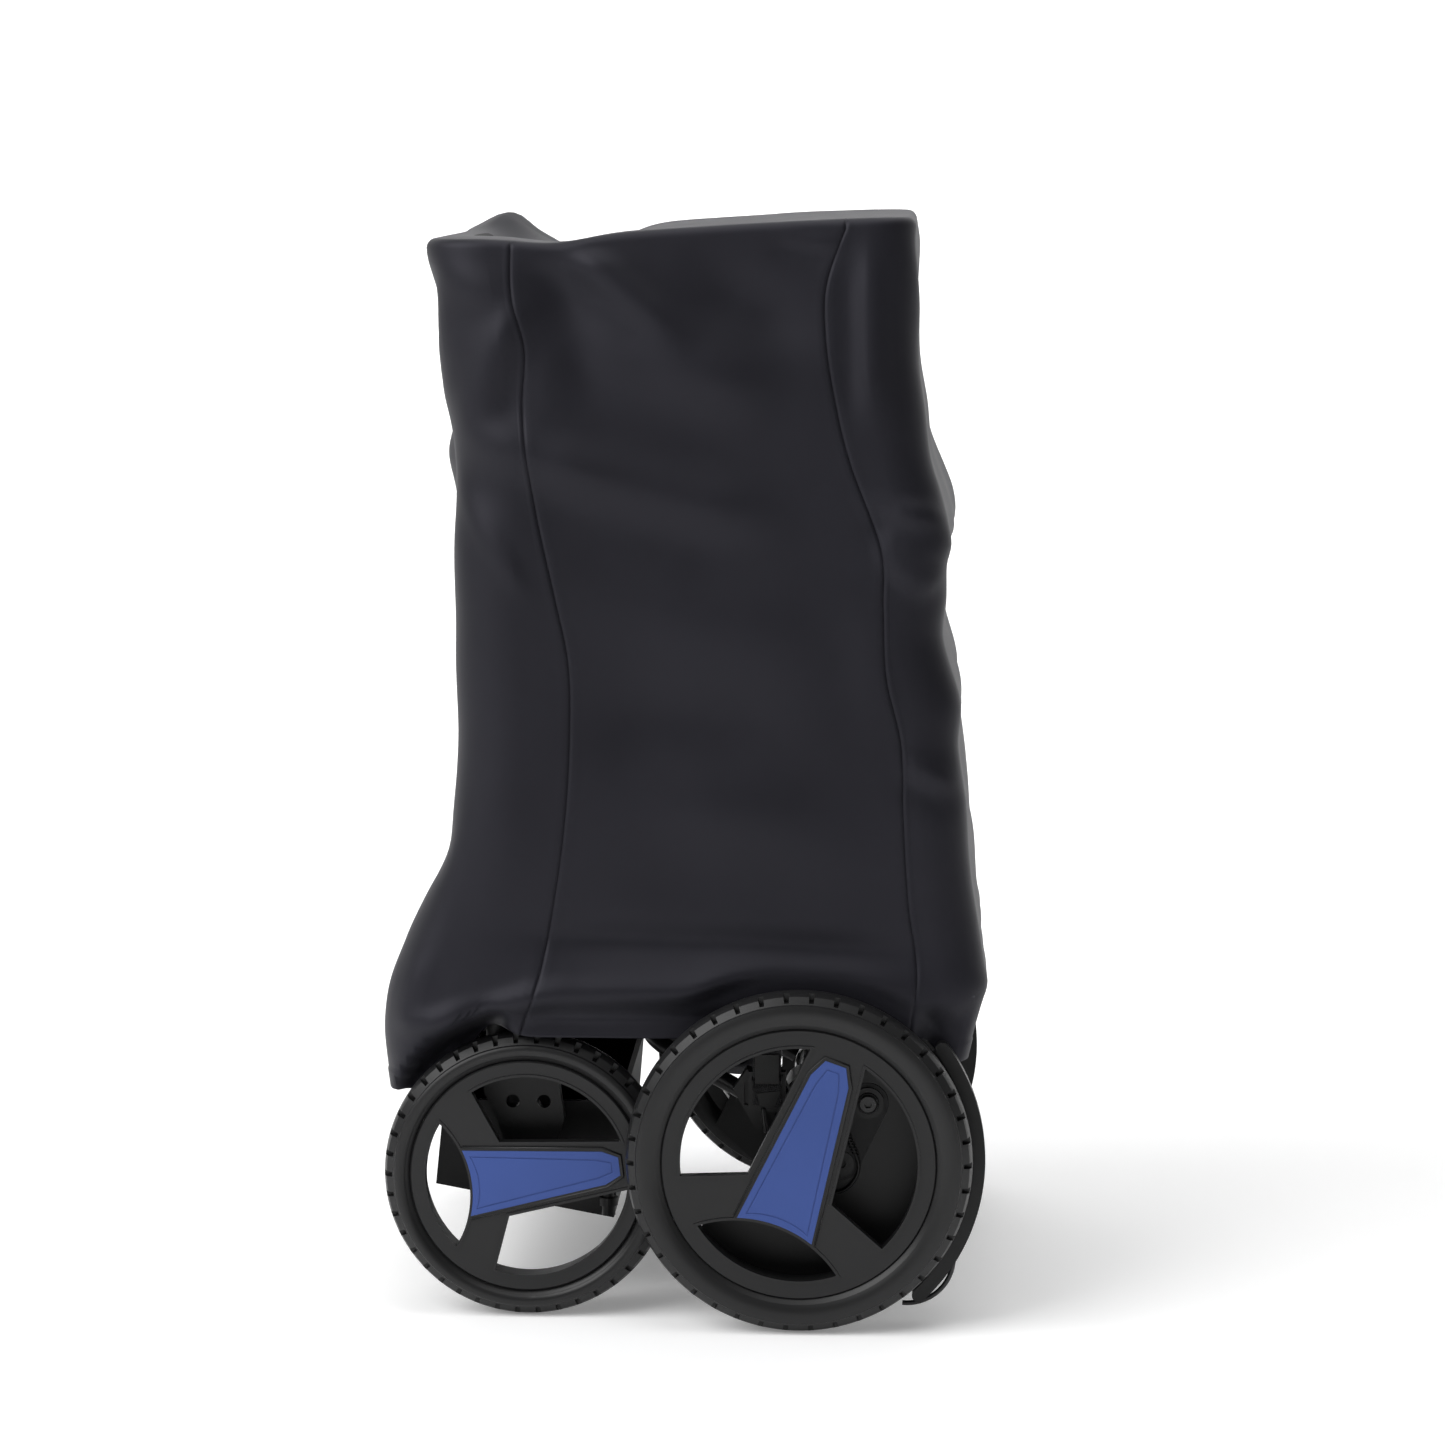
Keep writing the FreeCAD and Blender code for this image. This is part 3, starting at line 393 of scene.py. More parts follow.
# The guard's second lug and the cable's points are (x, z) from its first lug.
# Inner, outer and "at" are distances from the middle plane.
SECOND_LUG_STEP = (-0.023, -0.055)
# The plate round the two lugs is a near-black sheet of painted shade behind them.
SHADE_PLATE_INNER = 0.2366
SHADE_PLATE_OUTER = 0.2378
UPPER_SHADE_PLATE_RADIUS = 0.0180
LOWER_SHADE_PLATE_RADIUS = 0.0150
# The ring round the screw is a black tube of painted shade in the screw's recess.
SCREW_SHADE_RING_RADIUS = 0.0088
SCREW_SHADE_RING_AT = 0.2398
CABLE_AT = 0.2402
CABLE_STEPS = [
    (-0.022, -0.018), (-0.018, -0.030), (-0.012, -0.043), (-0.008, -0.056),
    (-0.011, -0.068), (-0.020, -0.078), (-0.032, -0.082),
]
SPRING_STEPS = 150
SPRING_TURNS = 9


def arc_points(centre, radius, degrees):
    """Points of an arc in the (x, z) plane."""
    return [centre + radius * np.array([math.cos(a), math.sin(a)]) for a in np.radians(degrees)]


def make_guard_details(suffix, side):
    """A near-black plate behind the guard's lugs and a black ring round its screw, both painted shade, and
    the release cable and spring.
    """
    low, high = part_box(f"guard_screw_{suffix}")
    lug = np.array([(low[0] + high[0]) / 2, (low[2] + high[2]) / 2])
    second = lug + np.array(SECOND_LUG_STEP)
    slant = math.degrees(math.atan2(lug[1] - second[1], lug[0] - second[0]))
    # A near-black plate round both lugs: painted shade behind them.
    shade_outline = arc_points(lug, UPPER_SHADE_PLATE_RADIUS, np.arange(slant - 92, slant + 93, 11))
    shade_outline += arc_points(second, LOWER_SHADE_PLATE_RADIUS, np.arange(slant + 88, slant + 273, 11))
    plate(f"lug_shade_plate_{suffix}", shade_outline, SHADE_PLATE_INNER, SHADE_PLATE_OUTER, "rear_frame", THREAD_AND_SHADE, side)
    # A black ring round the screw: painted shade in its recess.
    circle = arc_points(lug, SCREW_SHADE_RING_RADIUS, np.linspace(0, 360, 41))
    ring = [(x, side * SCREW_SHADE_RING_AT, z) for x, z in circle]
    tube_piece(f"screw_shade_ring_{suffix}", ring, 0.0010, "rear_frame", THREAD_AND_SHADE)
    cable = [lug + np.array(step) for step in CABLE_STEPS]
    line = smooth_line([(x, side * CABLE_AT, z) for x, z in cable], 60)
    tube_piece(f"release_cable_{suffix}", line, 0.0016, "rear_frame", PLASTIC, sides=12)
    spring = []
    for step in range(SPRING_STEPS):
        share = step / (SPRING_STEPS - 1)
        spot = line[3] + (line[22] - line[3]) * share
        turn = share * 2 * math.pi * SPRING_TURNS
        spring.append(spot + Vector((0.0028 * math.cos(turn), 0.0022 * math.sin(turn), 0)))
    tube_piece(f"cable_spring_{suffix}", spring, 0.0005, "rear_frame", PAINT, sides=6)


BUCKLE_RIBS = 12


def make_buckle_details():
    """The buckle's ribbed grip and latch, and the small metal clip below it."""
    low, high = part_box("buckle")
    left = low[0] + 0.003
    width = high[0] - low[0] - 0.006
    face = low[1] - 0.0008
    for rib in range(BUCKLE_RIBS):
        x = left + width * (rib + 0.5) / BUCKLE_RIBS
        z = high[2] - 0.010 + 0.0035 * rib / BUCKLE_RIBS
        line = [(x, face, z - 0.0045), (x + 0.0006, face - 0.0012, z), (x + 0.0012, face, z + 0.0045)]
        name = f"buckle_rib_{rib + 1}"
        tube_piece(name, smooth_line(line, 9), 0.0008, "rear_frame", PLASTIC)
    latch = [(left + 0.004, high[2] - 0.019), (left + width - 0.001, high[2] - 0.016),
             (left + width - 0.006, high[2] - 0.032), (left + 0.009, high[2] - 0.034)]
    plate("buckle_latch", latch, 0.2291, 0.2306, "rear_frame", PLASTIC, -1)
    clip_x = low[0] + 0.013
    clip = [
        (clip_x, -0.2312, low[2] + 0.004),
        (clip_x + 0.001, -0.2316, low[2] - 0.006),
        (clip_x + 0.003, -0.2310, low[2] - 0.018),
    ]
    tube_piece("buckle_clip", smooth_line(clip, 14), 0.0019, "rear_frame", PAINT, sides=14)


# The stepped bolt's profile: radius, height.
BOLT_PROFILE = [
    (0.0, 0.0), (0.0062, 0.0), (0.0062, 0.009), (0.0085, 0.0092), (0.0085, 0.0165),
    (0.0050, 0.0168), (0.0050, 0.026), (0.0036, 0.028), (0.0, 0.028),
]
BOLT_SIDES = 24


def make_stepped_bolts():
    """The stepped bolt that stands behind each front wheel, beside the footrest tray."""
    low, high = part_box("footrest_tray")
    for suffix, side in SIDES:
        spot_x = high[0] - 0.013
        spot_y = side * (high[1] + 0.012)
        base = low[2] + 0.006
        vertices = []
        for radius, lift in BOLT_PROFILE:
            for step in range(BOLT_SIDES):
                turn = 2 * math.pi * step / BOLT_SIDES
                spot = (spot_x + radius * math.cos(turn), spot_y + radius * math.sin(turn), base + lift)
                vertices.append(spot)
        faces = []
        for ring in range(len(BOLT_PROFILE) - 1):
            for step in range(BOLT_SIDES):
                a = ring * BOLT_SIDES + step
                b = ring * BOLT_SIDES + (step + 1) % BOLT_SIDES
                faces.append((a, b, b + BOLT_SIDES, a + BOLT_SIDES))
        bolt = new_piece(f"tray_bolt_{suffix}", vertices, faces, "front_frame", PLASTIC)
        bolt.data.shade_flat()
        weld = bolt.modifiers.new("ends", "WELD")
        weld.merge_threshold = 0.0001


make_panel_trims()
for suffix, side in SIDES:
    make_guard_details(suffix, side)
make_buckle_details()
make_stepped_bolts()


# ---------------------------------------------------------------- travel cover

# The cover seen from its side: its front and back edges by height, in metres.
FRONT_EDGE = [
    (0.190, -0.266), (0.222, -0.269), (0.258, -0.271), (0.294, -0.266), (0.331, -0.251), (0.367, -0.234),
    (0.403, -0.221), (0.439, -0.212), (0.510, -0.204), (0.600, -0.206), (0.690, -0.207), (0.733, -0.205),
    (0.757, -0.205), (0.795, -0.208), (0.812, -0.211), (0.846, -0.215), (0.880, -0.220), (0.915, -0.226),
    (0.938, -0.230), (0.952, -0.229), (0.975, -0.222),
]
BACK_EDGE = [
    (0.190, 0.240), (0.224, 0.244), (0.263, 0.253), (0.281, 0.258), (0.299, 0.263), (0.317, 0.260),
    (0.353, 0.255), (0.424, 0.246), (0.470, 0.243), (0.490, 0.241), (0.513, 0.238), (0.548, 0.238),
    (0.583, 0.228), (0.605, 0.222), (0.640, 0.223), (0.671, 0.226), (0.689, 0.232), (0.706, 0.230),
    (0.730, 0.222), (0.758, 0.212), (0.810, 0.204), (0.845, 0.199), (0.896, 0.197), (0.948, 0.198),
    (0.975, 0.196),
]
HALF_WIDTH = [
    (0.190, 0.236), (0.258, 0.243), (0.300, 0.244), (0.340, 0.241), (0.420, 0.243), (0.560, 0.240),
    (0.690, 0.238), (0.800, 0.233), (0.930, 0.227), (0.975, 0.224),
]
# The seams between the side panels and the front and back panels: X by height.
FRONT_SEAM = [
    (0.190, -0.150), (0.256, -0.147), (0.302, -0.131), (0.360, -0.119), (0.440, -0.107), (0.519, -0.102),
    (0.594, -0.104), (0.642, -0.114), (0.729, -0.133), (0.807, -0.142), (0.863, -0.141), (0.901, -0.151),
    (0.950, -0.152), (0.975, -0.150),
]
BACK_SEAM = [
    (0.190, 0.196), (0.269, 0.197), (0.305, 0.202), (0.376, 0.194), (0.460, 0.189), (0.517, 0.187),
    (0.574, 0.174), (0.635, 0.171), (0.687, 0.169), (0.713, 0.160), (0.760, 0.142), (0.816, 0.128),
    (0.872, 0.120), (0.910, 0.120), (0.947, 0.131), (0.971, 0.141),
]
FRONT_CORNER = 0.056
BACK_CORNER = 0.040
SEAM_STEPS = (-0.0034, -0.0013, 0.0, 0.0013, 0.0034)
HEM_STEPS = (0.0, 0.002, 0.006, 0.010, 0.014, 0.0165, 0.0185, 0.022)
EDGE_RADIUS = 0.007
LEVELS = 150
TOP_RINGS = 30

# Folds of the side panels: start (x, z), end (x, z), half width, height out of the cloth.
SIDE_FOLDS = [
    ((-0.194, 0.795), (-0.150, 0.890), 0.015, 0.0070),
    ((-0.215, 0.925), (-0.160, 0.905), 0.016, 0.0040),
    ((-0.196, 0.790), (-0.080, 0.752), 0.022, 0.0075),
    ((-0.090, 0.755), (0.060, 0.715), 0.026, 0.0090),
    ((-0.200, 0.738), (-0.146, 0.655), 0.009, 0.0035),
    ((-0.100, 0.948), (-0.012, 0.875), 0.017, 0.0100),
    ((-0.120, 0.925), (-0.082, 0.830), 0.024, -0.0075),
    ((-0.080, 0.868), (0.050, 0.825), 0.028, 0.0070),
    ((0.015, 0.920), (0.095, 0.870), 0.030, -0.0080),
    ((0.158, 0.935), (0.160, 0.810), 0.010, 0.0055),
    ((0.080, 0.962), (0.128, 0.950), 0.009, 0.0040),
    ((0.165, 0.728), (0.225, 0.712), 0.011, 0.0045),
    ((0.195, 0.648), (0.228, 0.668), 0.009, 0.0040),
    ((0.195, 0.500), (0.240, 0.478), 0.010, 0.0045),
    ((0.160, 0.640), (0.170, 0.540), 0.022, 0.0030),
    ((-0.248, 0.262), (-0.236, 0.320), 0.010, 0.0040),
    ((-0.238, 0.312), (-0.194, 0.445), 0.013, 0.0045),
    ((-0.245, 0.262), (-0.120, 0.294), 0.011, 0.0095),
    ((-0.130, 0.292), (0.060, 0.300), 0.013, 0.0095),
    ((0.040, 0.302), (0.190, 0.287), 0.020, 0.0060),
    ((-0.225, 0.242), (-0.150, 0.270), 0.007, 0.0045),
    ((-0.120, 0.342), (0.185, 0.330), 0.018, -0.0085),
    ((-0.020, 0.470), (0.120, 0.440), 0.036, 0.0055),
    ((-0.060, 0.640), (0.100, 0.605), 0.042, 0.0055),
    ((-0.080, 0.540), (0.080, 0.525), 0.040, -0.0050),
]
# Folds of the front and of the back panel: start (y, z), end (y, z), half width, height.
FRONT_FOLDS = [
    ((-0.20, 0.93), (-0.03, 0.70), 0.020, 0.006),
    ((0.20, 0.93), (0.05, 0.74), 0.022, 0.006),
    ((-0.21, 0.42), (0.02, 0.36), 0.026, 0.006),
    ((0.20, 0.34), (-0.02, 0.29), 0.020, 0.005),
    ((-0.15, 0.62), (0.16, 0.55), 0.045, 0.004),
]
BACK_FOLDS = [
    ((-0.20, 0.70), (0.00, 0.62), 0.026, 0.006),
    ((0.20, 0.69), (0.02, 0.58), 0.026, 0.006),
    ((-0.18, 0.95), (-0.06, 0.80), 0.020, 0.005),
    ((0.17, 0.95), (0.08, 0.82), 0.020, 0.005),
    ((0.19, 0.40), (-0.10, 0.33), 0.024, 0.006),
    ((-0.19, 0.50), (0.05, 0.46), 0.030, 0.004),
]


def crease(across, up, start, end, width, depth):
    """A fold along a line: a ridge with a softer hollow beside it, fading out at both ends."""
    run = (end[0] - start[0], end[1] - start[1])
    span = math.hypot(*run)
    along = ((across - start[0]) * run[0] + (up - start[1]) * run[1]) / span
    off = ((across - start[0]) * run[1] - (up - start[1]) * run[0]) / span
    reach = 0.4 * span + width
    fade = smooth(along / reach + 0.5) * smooth((span - along) / reach + 0.5)
    return depth * fade * (bell(off, width) - 0.5 * bell(off - 1.9 * width, 1.3 * width))


def folds_at(across, up, folds):
    """The height of a panel's folds at a point."""
    total = np.zeros_like(across)
    for start, end, width, depth in folds:
        total = total + crease(across, up, start, end, width, depth)
    return total


def ripple(a, b, size):
    """A gentle, uneven waviness of loose cloth."""
    slow = np.sin(17.1 * a + 9.3 * b + 0.7) * np.sin(12.7 * b - 7.9 * a + 1.9)
    quick = np.sin(41.0 * a - 23.0 * b + 2.1) * np.sin(33.0 * b + 19.0 * a + 0.4)
    return size * (slow + 0.35 * quick)


def hem_height(x, y):
    """The cover's lower edge: arched over the wheels, lower at the front and the back."""
    side = 0.254 + 0.006 * bell(x + 0.165, 0.014) - 0.056 * smooth((-0.176 - x) / 0.05)
    side = side - 0.022 * smooth((x - 0.205) / 0.03)
    ends = np.where(x < 0, 0.197, 0.230)
    share = smooth((np.abs(y) - 0.180) / 0.030)
    return ends + (side - ends) * share


def tuck(x, y, height):
    """How far the flaps turn in behind the wheels at their lower edge: the distance from the middle plane."""
    over_tyre = 0.128 + np.sqrt(np.clip(0.128 ** 2 - (x + 0.142) ** 2, 0, None)) + 0.006
    front = smooth((-0.150 - x) / 0.028) * (1 - smooth((height - over_tyre) / 0.026))
    back = smooth((x - 0.196) / 0.022) * (1 - smooth((height - 0.262) / 0.030))
    limit = np.where(x < 0, 0.199, 0.226)
    return y - np.clip(y - limit, 0, None) * np.maximum(front, back)


def top_height(x, y):
    """The cover's top, stretched between the handlebar and the cabin hoop and sagging between them."""
    rise = 0.9510 + 0.0190 * smooth((x + 0.225) / 0.42)
    valley = (0.006 + 0.022 * smooth((y + 0.15) / 0.35)) * bell(x + 0.115, 0.040)
    sag = 0.006 * bell(x - 0.02, 0.09) * bell(y, 0.12)
    peak = 0.019 * bell(x + 0.198, 0.024) * bell(y - 0.200, 0.050)
    pocket = 0.018 * bell(x + 0.172, 0.026) * bell(y - 0.060, 0.090)
    return rise - valley - sag + peak - pocket


def column_plan():
    """The columns of half the cover, from the middle of the front to the middle of the back."""
    plan = [("front", step / 24) for step in range(24)]
    plan += [("front_corner", math.radians(90 * step / 9)) for step in range(9)]
    plan += [("front_strip", step / 9) for step in range(9)]
    plan += [("front_seam", step) for step in SEAM_STEPS]
    plan += [("side", step / 60) for step in range(1, 60)]
    plan += [("back_seam", step) for step in SEAM_STEPS]
    plan += [("back_strip", step / 7) for step in range(1, 8)]
    plan += [("back_corner", math.radians(90 * step / 8)) for step in range(1, 8)]
    plan += [("back", step / 24) for step in range(25)]
    return plan


def column_spot(part, value, height):
    """Where a column passes a height: x, distance from the middle plane, and the outward normal."""
    front = curve_through(FRONT_EDGE, height)
    back = curve_through(BACK_EDGE, height)
    half = curve_through(HALF_WIDTH, height)
    front_seam = curve_through(FRONT_SEAM, height)
    back_seam = curve_through(BACK_SEAM, height)
    bow_x = front + FRONT_CORNER
    heel_x = back - BACK_CORNER
    edge = SEAM_STEPS[-1]
    none = np.zeros_like(height)
    if part == "front":
        return front, (half - FRONT_CORNER) * value, none - 1, none
    if part == "front_corner":
        ahead, out = math.cos(value), math.sin(value)
        return bow_x - FRONT_CORNER * ahead, half - FRONT_CORNER * (1 - out), none - ahead, none + out
    if part == "front_strip":
        return bow_x + (front_seam - edge - bow_x) * value, half, none, none + 1
    if part == "front_seam":
        return front_seam + value, half, none, none + 1
    if part == "side":
        return front_seam + edge + (back_seam - front_seam - 2 * edge) * value, half, none, none + 1
    if part == "back_seam":
        return back_seam + value, half, none, none + 1
    if part == "back_strip":
        return back_seam + edge + (heel_x - back_seam - edge) * value, half, none, none + 1
    if part == "back_corner":
        behind, out = math.sin(value), math.cos(value)
        return heel_x + BACK_CORNER * behind, half - BACK_CORNER * (1 - out), none + behind, none + out
    return back, (half - BACK_CORNER) * (1 - value), none + 1, none


def cover_column(part, value, side):
    """One column of the cover, from the hem up and over the rounded top edge."""
    foot_x, foot_y, _, _ = column_spot(part, value, np.array([0.25]))
    head_x, head_y, _, _ = column_spot(part, value, np.array([0.95]))
    low = hem_height(foot_x, foot_y)[0]
    high = top_height(head_x, side * head_y)[0] - EDGE_RADIUS
    climb = np.linspace(0, 1, LEVELS + 1)[1:]
    above_hem = low + HEM_STEPS[-1]
    height = np.concatenate([low + np.array(HEM_STEPS), above_hem + (high - low - HEM_STEPS[-1]) * climb])
    x, out_y, ahead, out = column_spot(part, value, height)
    mirror = 0.0 if side < 0 else 0.014
    flank = folds_at(x + mirror, height - 0.6 * mirror, SIDE_FOLDS) + ripple(x + mirror, height, 0.0012)
    flank = flank + 0.0055 * smooth((0.046 - np.hypot(x - 0.205, height - 0.690)) / 0.022)
    end_folds = FRONT_FOLDS if part.startswith("front") else BACK_FOLDS
    ends = ripple(side * out_y, height + 0.4, 0.0014) - folds_at(side * out_y, height, end_folds)
    if part.startswith("front"):
        bulge = smooth((side * out_y + 0.145) / 0.05) * bell(height - 0.766, 0.034)
        swell = smooth((side * out_y + 0.12) / 0.05) * bell(height - 0.700, 0.05)
        ends = ends + 0.014 * bulge + 0.004 * swell
    relief = flank * out ** 2 + ends * ahead ** 2
    relief = relief * smooth((high - height) / 0.03 + 0.35)
    if part.endswith("seam"):
        relief = relief - 0.0016 * (abs(value) < 0.001) + 0.0004 * (abs(value) > 0.003)
    above_hem = height - low
    relief = relief + 0.0009 * (1 - smooth((above_hem - 0.0165) / 0.002))
    near_tyre = 1 - smooth((np.hypot(x - 0.100, height - 0.152) - 0.158) / 0.018)
    relief = relief - np.clip(relief - 0.001, 0, None) * near_tyre * out ** 2
    x = x + ahead * relief
    y = tuck(x, out_y + out * relief, height)
    turn = np.radians(np.array([18, 36, 54, 72, 90]))
    rim_x = x[-1] - ahead[-1] * EDGE_RADIUS * (1 - np.cos(turn))
    rim_y = y[-1] - out[-1] * EDGE_RADIUS * (1 - np.cos(turn))
    rim_z = high + EDGE_RADIUS * np.sin(turn)
    x, y = np.concatenate([x, rim_x]), np.concatenate([y, rim_y])
    return np.stack([x, side * y, np.concatenate([height, rim_z])], axis=1)


def cover_grid():
    """All the cover's columns in order round it, as an array of level, column and point."""
    plan = column_plan()
    around = [cover_column(part, value, -1) for part, value in plan]
    around += [cover_column(part, value, 1) for part, value in reversed(plan[1:-1])]
    return np.stack(around, axis=1), [part + str(value) for part, value in plan]


def grid_faces(levels, columns):
    """Faces of a grid that closes on itself round its columns."""
    faces = []
    for level in range(levels - 1):
        for column in range(columns):
            after = (column + 1) % columns
            faces.append((level * columns + column, level * columns + after,
                          (level + 1) * columns + after, (level + 1) * columns + column))
    return faces


def close_with_rings(rim, rings, height_at):
    """Rings from a rim in to its middle, each point at the height that height_at gives."""
    middle_point = rim.mean(axis=0)
    layers = []
    for ring in range(1, rings):
        share = 1 - ring / rings
        points = middle_point + (rim - middle_point) * share
        fade = smooth(ring / 3)
        target = height_at(points[:, 0], points[:, 1])
        points[:, 2] = rim[:, 2] * (1 - fade) + target * fade
        layers.append(points)
    middle_point[2] = height_at(middle_point[:1], middle_point[1:2])[0]
    return layers, middle_point


def make_cover():
    """The sewn cover as one sheet of cloth, closed at the top and open below."""
    grid, names = cover_grid()
    columns = grid.shape[1]
    layers, centre = close_with_rings(
        grid[-1], TOP_RINGS, lambda x, y: top_height(x, y) + ripple(x, y, 0.0012))
    rings = np.concatenate([grid, np.stack(layers)])
    vertices = list(rings.reshape(-1, 3)) + [centre]
    faces = grid_faces(len(rings), columns)
    last = (len(rings) - 1) * columns
    faces += [(last + column, last + (column + 1) % columns, len(vertices) - 1) for column in range(columns)]
    faces = [tuple(reversed(face)) for face in faces]
    cover = new_piece("travel_cover", vertices, faces, "cover", COVER)
    skin = cover.modifiers.new("cloth thickness", "SOLIDIFY")
    skin.thickness = 0.0016
    skin.offset = -1
    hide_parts("cover_side_left", "cover_side_right", "cover_front", "cover_back", "cover_top")
    return cover, grid, names


def stitch_rows(name, rows, pitch, length, radius, body, material):
    """Short thread stitches along rows of (points, outward normals)."""
    vertices = []
    faces = []
    for points, normals in rows:
        steps = np.linalg.norm(np.diff(points, axis=0), axis=1)
        reach = np.concatenate([[0], np.cumsum(steps)])
        for place in np.arange(pitch, reach[-1] - pitch, pitch):
            spot = np.array([np.interp(place, reach, points[:, axis]) for axis in range(3)])
            ahead = np.array([np.interp(place + 0.001, reach, points[:, axis]) for axis in range(3)]) - spot
            out = np.array([np.interp(place, reach, normals[:, axis]) for axis in range(3)])
            ahead = ahead / np.linalg.norm(ahead)
            out = out / np.linalg.norm(out)
            across = np.cross(ahead, out)
            first = len(vertices)
            for share, thick in ((-0.5, 0.35), (0.0, 1.0), (0.5, 0.35)):
                for a, b in ((1, 0), (0, 1), (-1, 0), (0, -1)):
                    lift = out * radius * thick * (b + 0.3)
                    vertices.append(spot + ahead * length * share + across * radius * thick * a + lift)
            for ring in (0, 4):
                for side in range(4):
                    after = (side + 1) % 4
                    faces.append((first + ring + side, first + ring + 4 + side,
                                  first + ring + 4 + after, first + ring + after))
            faces.append((first, first + 1, first + 2, first + 3))
            faces.append((first + 11, first + 10, first + 9, first + 8))
    return new_piece(name, vertices, faces, body, material)


def grid_normals(grid):
    """Outward normals of the cover's grid."""
    up = np.gradient(grid, axis=0)
    round_it = np.roll(grid, -1, axis=1) - np.roll(grid, 1, axis=1)
    normal = np.cross(round_it, up)
    normal = normal / np.linalg.norm(normal, axis=2, keepdims=True)
    middle_xy = grid[:, :, :2].mean(axis=(0, 1))
    outward = ((grid[:, :, :2] - middle_xy) * normal[:, :, :2]).sum(axis=2)
    return normal * np.sign(outward)[:, :, None]


def sew_cover(grid, names):
    """The stitches beside the four seams and the two rows round the hem."""
    normals = grid_normals(grid)
    columns = grid.shape[1]
    walls = len(HEM_STEPS) + LEVELS
    rows = []
    for name in ("front_seam" + str(SEAM_STEPS[-1]), "back_seam" + str(SEAM_STEPS[0])):
        column = names.index(name)
        for spot in (column, columns - column):
            rows.append((grid[:walls, spot], normals[:walls, spot]))
    for level in (2, 5):
        rows.append((grid[level], normals[level]))
    return stitch_rows("cover_stitches", rows, 0.0048, 0.0032, 0.00038, "cover", THREAD_AND_SHADE)


travel_cover, cover_points, cover_columns = make_cover()
cover_stitches = sew_cover(cover_points, cover_columns)


# ---------------------------------------------------------------- cabin, cushion and canopy

def closed_curve(points, count):
    """A smooth closed curve through points, at even steps."""
    points = np.array(points)
    turn = np.arange(count) / count * len(points)
    first = turn.astype(int)
    t = (turn - first)[:, None]
    p0, p1, p2, p3 = [points[(first + shift) % len(points)] for shift in (-1, 0, 1, 2)]
    curve = 0.5 * (2 * p1 + (p2 - p0) * t + (2 * p0 - 5 * p1 + 4 * p2 - p3) * t ** 2
                   + (3 * p1 - p0 - 3 * p2 + p3) * t ** 3)
    steps = np.linalg.norm(np.roll(curve, -1, axis=0) - curve, axis=1)
    reach = np.concatenate([[0], np.cumsum(steps)])
    curve = np.vstack([curve, curve[:1]])
    even = np.arange(count) / count * reach[-1]
    return np.stack([np.interp(even, reach, curve[:, axis]) for axis in range(2)], axis=1)


# The collapsed cabin seen from its side: X and Z in metres.
CABIN_OUTLINE = [
    (0.150, 0.392), (0.040, 0.390), (-0.060, 0.404), (-0.160, 0.520), (-0.181, 0.640), (-0.177, 0.795),
    (-0.132, 0.876), (0.000, 0.881), (0.126, 0.880), (0.150, 0.800), (0.156, 0.700), (0.152, 0.540),
]
CABIN_HALF = 0.1475


def make_cabin():
    """The cabin's cloth, folded flat: a band round its outline and two sides that fold inwards."""
    around = 140
    across = 36
    loop = closed_curve(CABIN_OUTLINE, around)
    heart = loop.mean(axis=0)
    inward = heart - loop
    inward = inward / np.linalg.norm(inward, axis=1, keepdims=True)
    rings = []
    for step in range(across + 1):
        y = CABIN_HALF * (2 * step / across - 1)
        edge = smooth((CABIN_HALF - abs(y)) / 0.02)
        pleats = np.sin(loop[:, 1] * 95 + 3 * np.sin(y * 14)) * np.cos(y * 19 + loop[:, 0] * 8)
        folds = 0.005 * edge * (1 + pleats)
        spot = loop + inward * (0.002 + folds)[:, None]
        rings.append(np.column_stack([spot[:, 0], np.full(around, y), spot[:, 1]]))
    ends = []
    for side in (1, -1):
        rim = rings[-1] if side > 0 else rings[0]
        layers = []
        for ring in range(1, 22):
            share = 1 - ring / 22
            spot = heart + (rim[:, [0, 2]] - heart) * share
            pleat = 0.5 + 0.5 * np.sin(150 * spot[:, 1] + 24 * spot[:, 0] + 2.2 * np.sin(15 * spot[:, 0]))
            depth = smooth(ring / 5) * (0.004 + 0.013 * pleat)
            layers.append(np.column_stack([spot[:, 0], side * (CABIN_HALF - depth), spot[:, 1]]))
        ends.append(layers)
    stack = ends[1][::-1] + rings + ends[0]
    vertices = list(np.concatenate(stack))
    faces = grid_faces(len(stack), around)
    for layer, order in ((0, 1), (len(stack) - 1, -1)):
        vertices.append(np.array([heart[0], stack[layer][:, 1].mean(), heart[1]]))
        for step in range(around):
            face = (layer * around + (step + 1) % around, layer * around + step, len(vertices) - 1)
            faces.append(face[::order])
    cabin = new_piece("cabin_cloth", vertices, faces, "rear_frame", CABIN)
    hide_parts("cabin_shell")
    skin = cabin.modifiers.new("cloth thickness", "SOLIDIFY")
    skin.thickness = 0.0012
    skin.offset = -1
    for side in (-1, 1):
        line = [(x, side * (CABIN_HALF - 0.001), z) for x, z in loop[::2]]
        name = f"cabin_piping_{'left' if side < 0 else 'right'}"
        tube_piece(name, line, 0.0022, "rear_frame", WEBBING, closed=True)
    zip_line = [(x, 0.03, z) for x, z in closed_curve(CABIN_OUTLINE, 70)[34:58]]
    tube_piece("cabin_zip", zip_line, 0.0026, "rear_frame", THREAD_AND_SHADE)


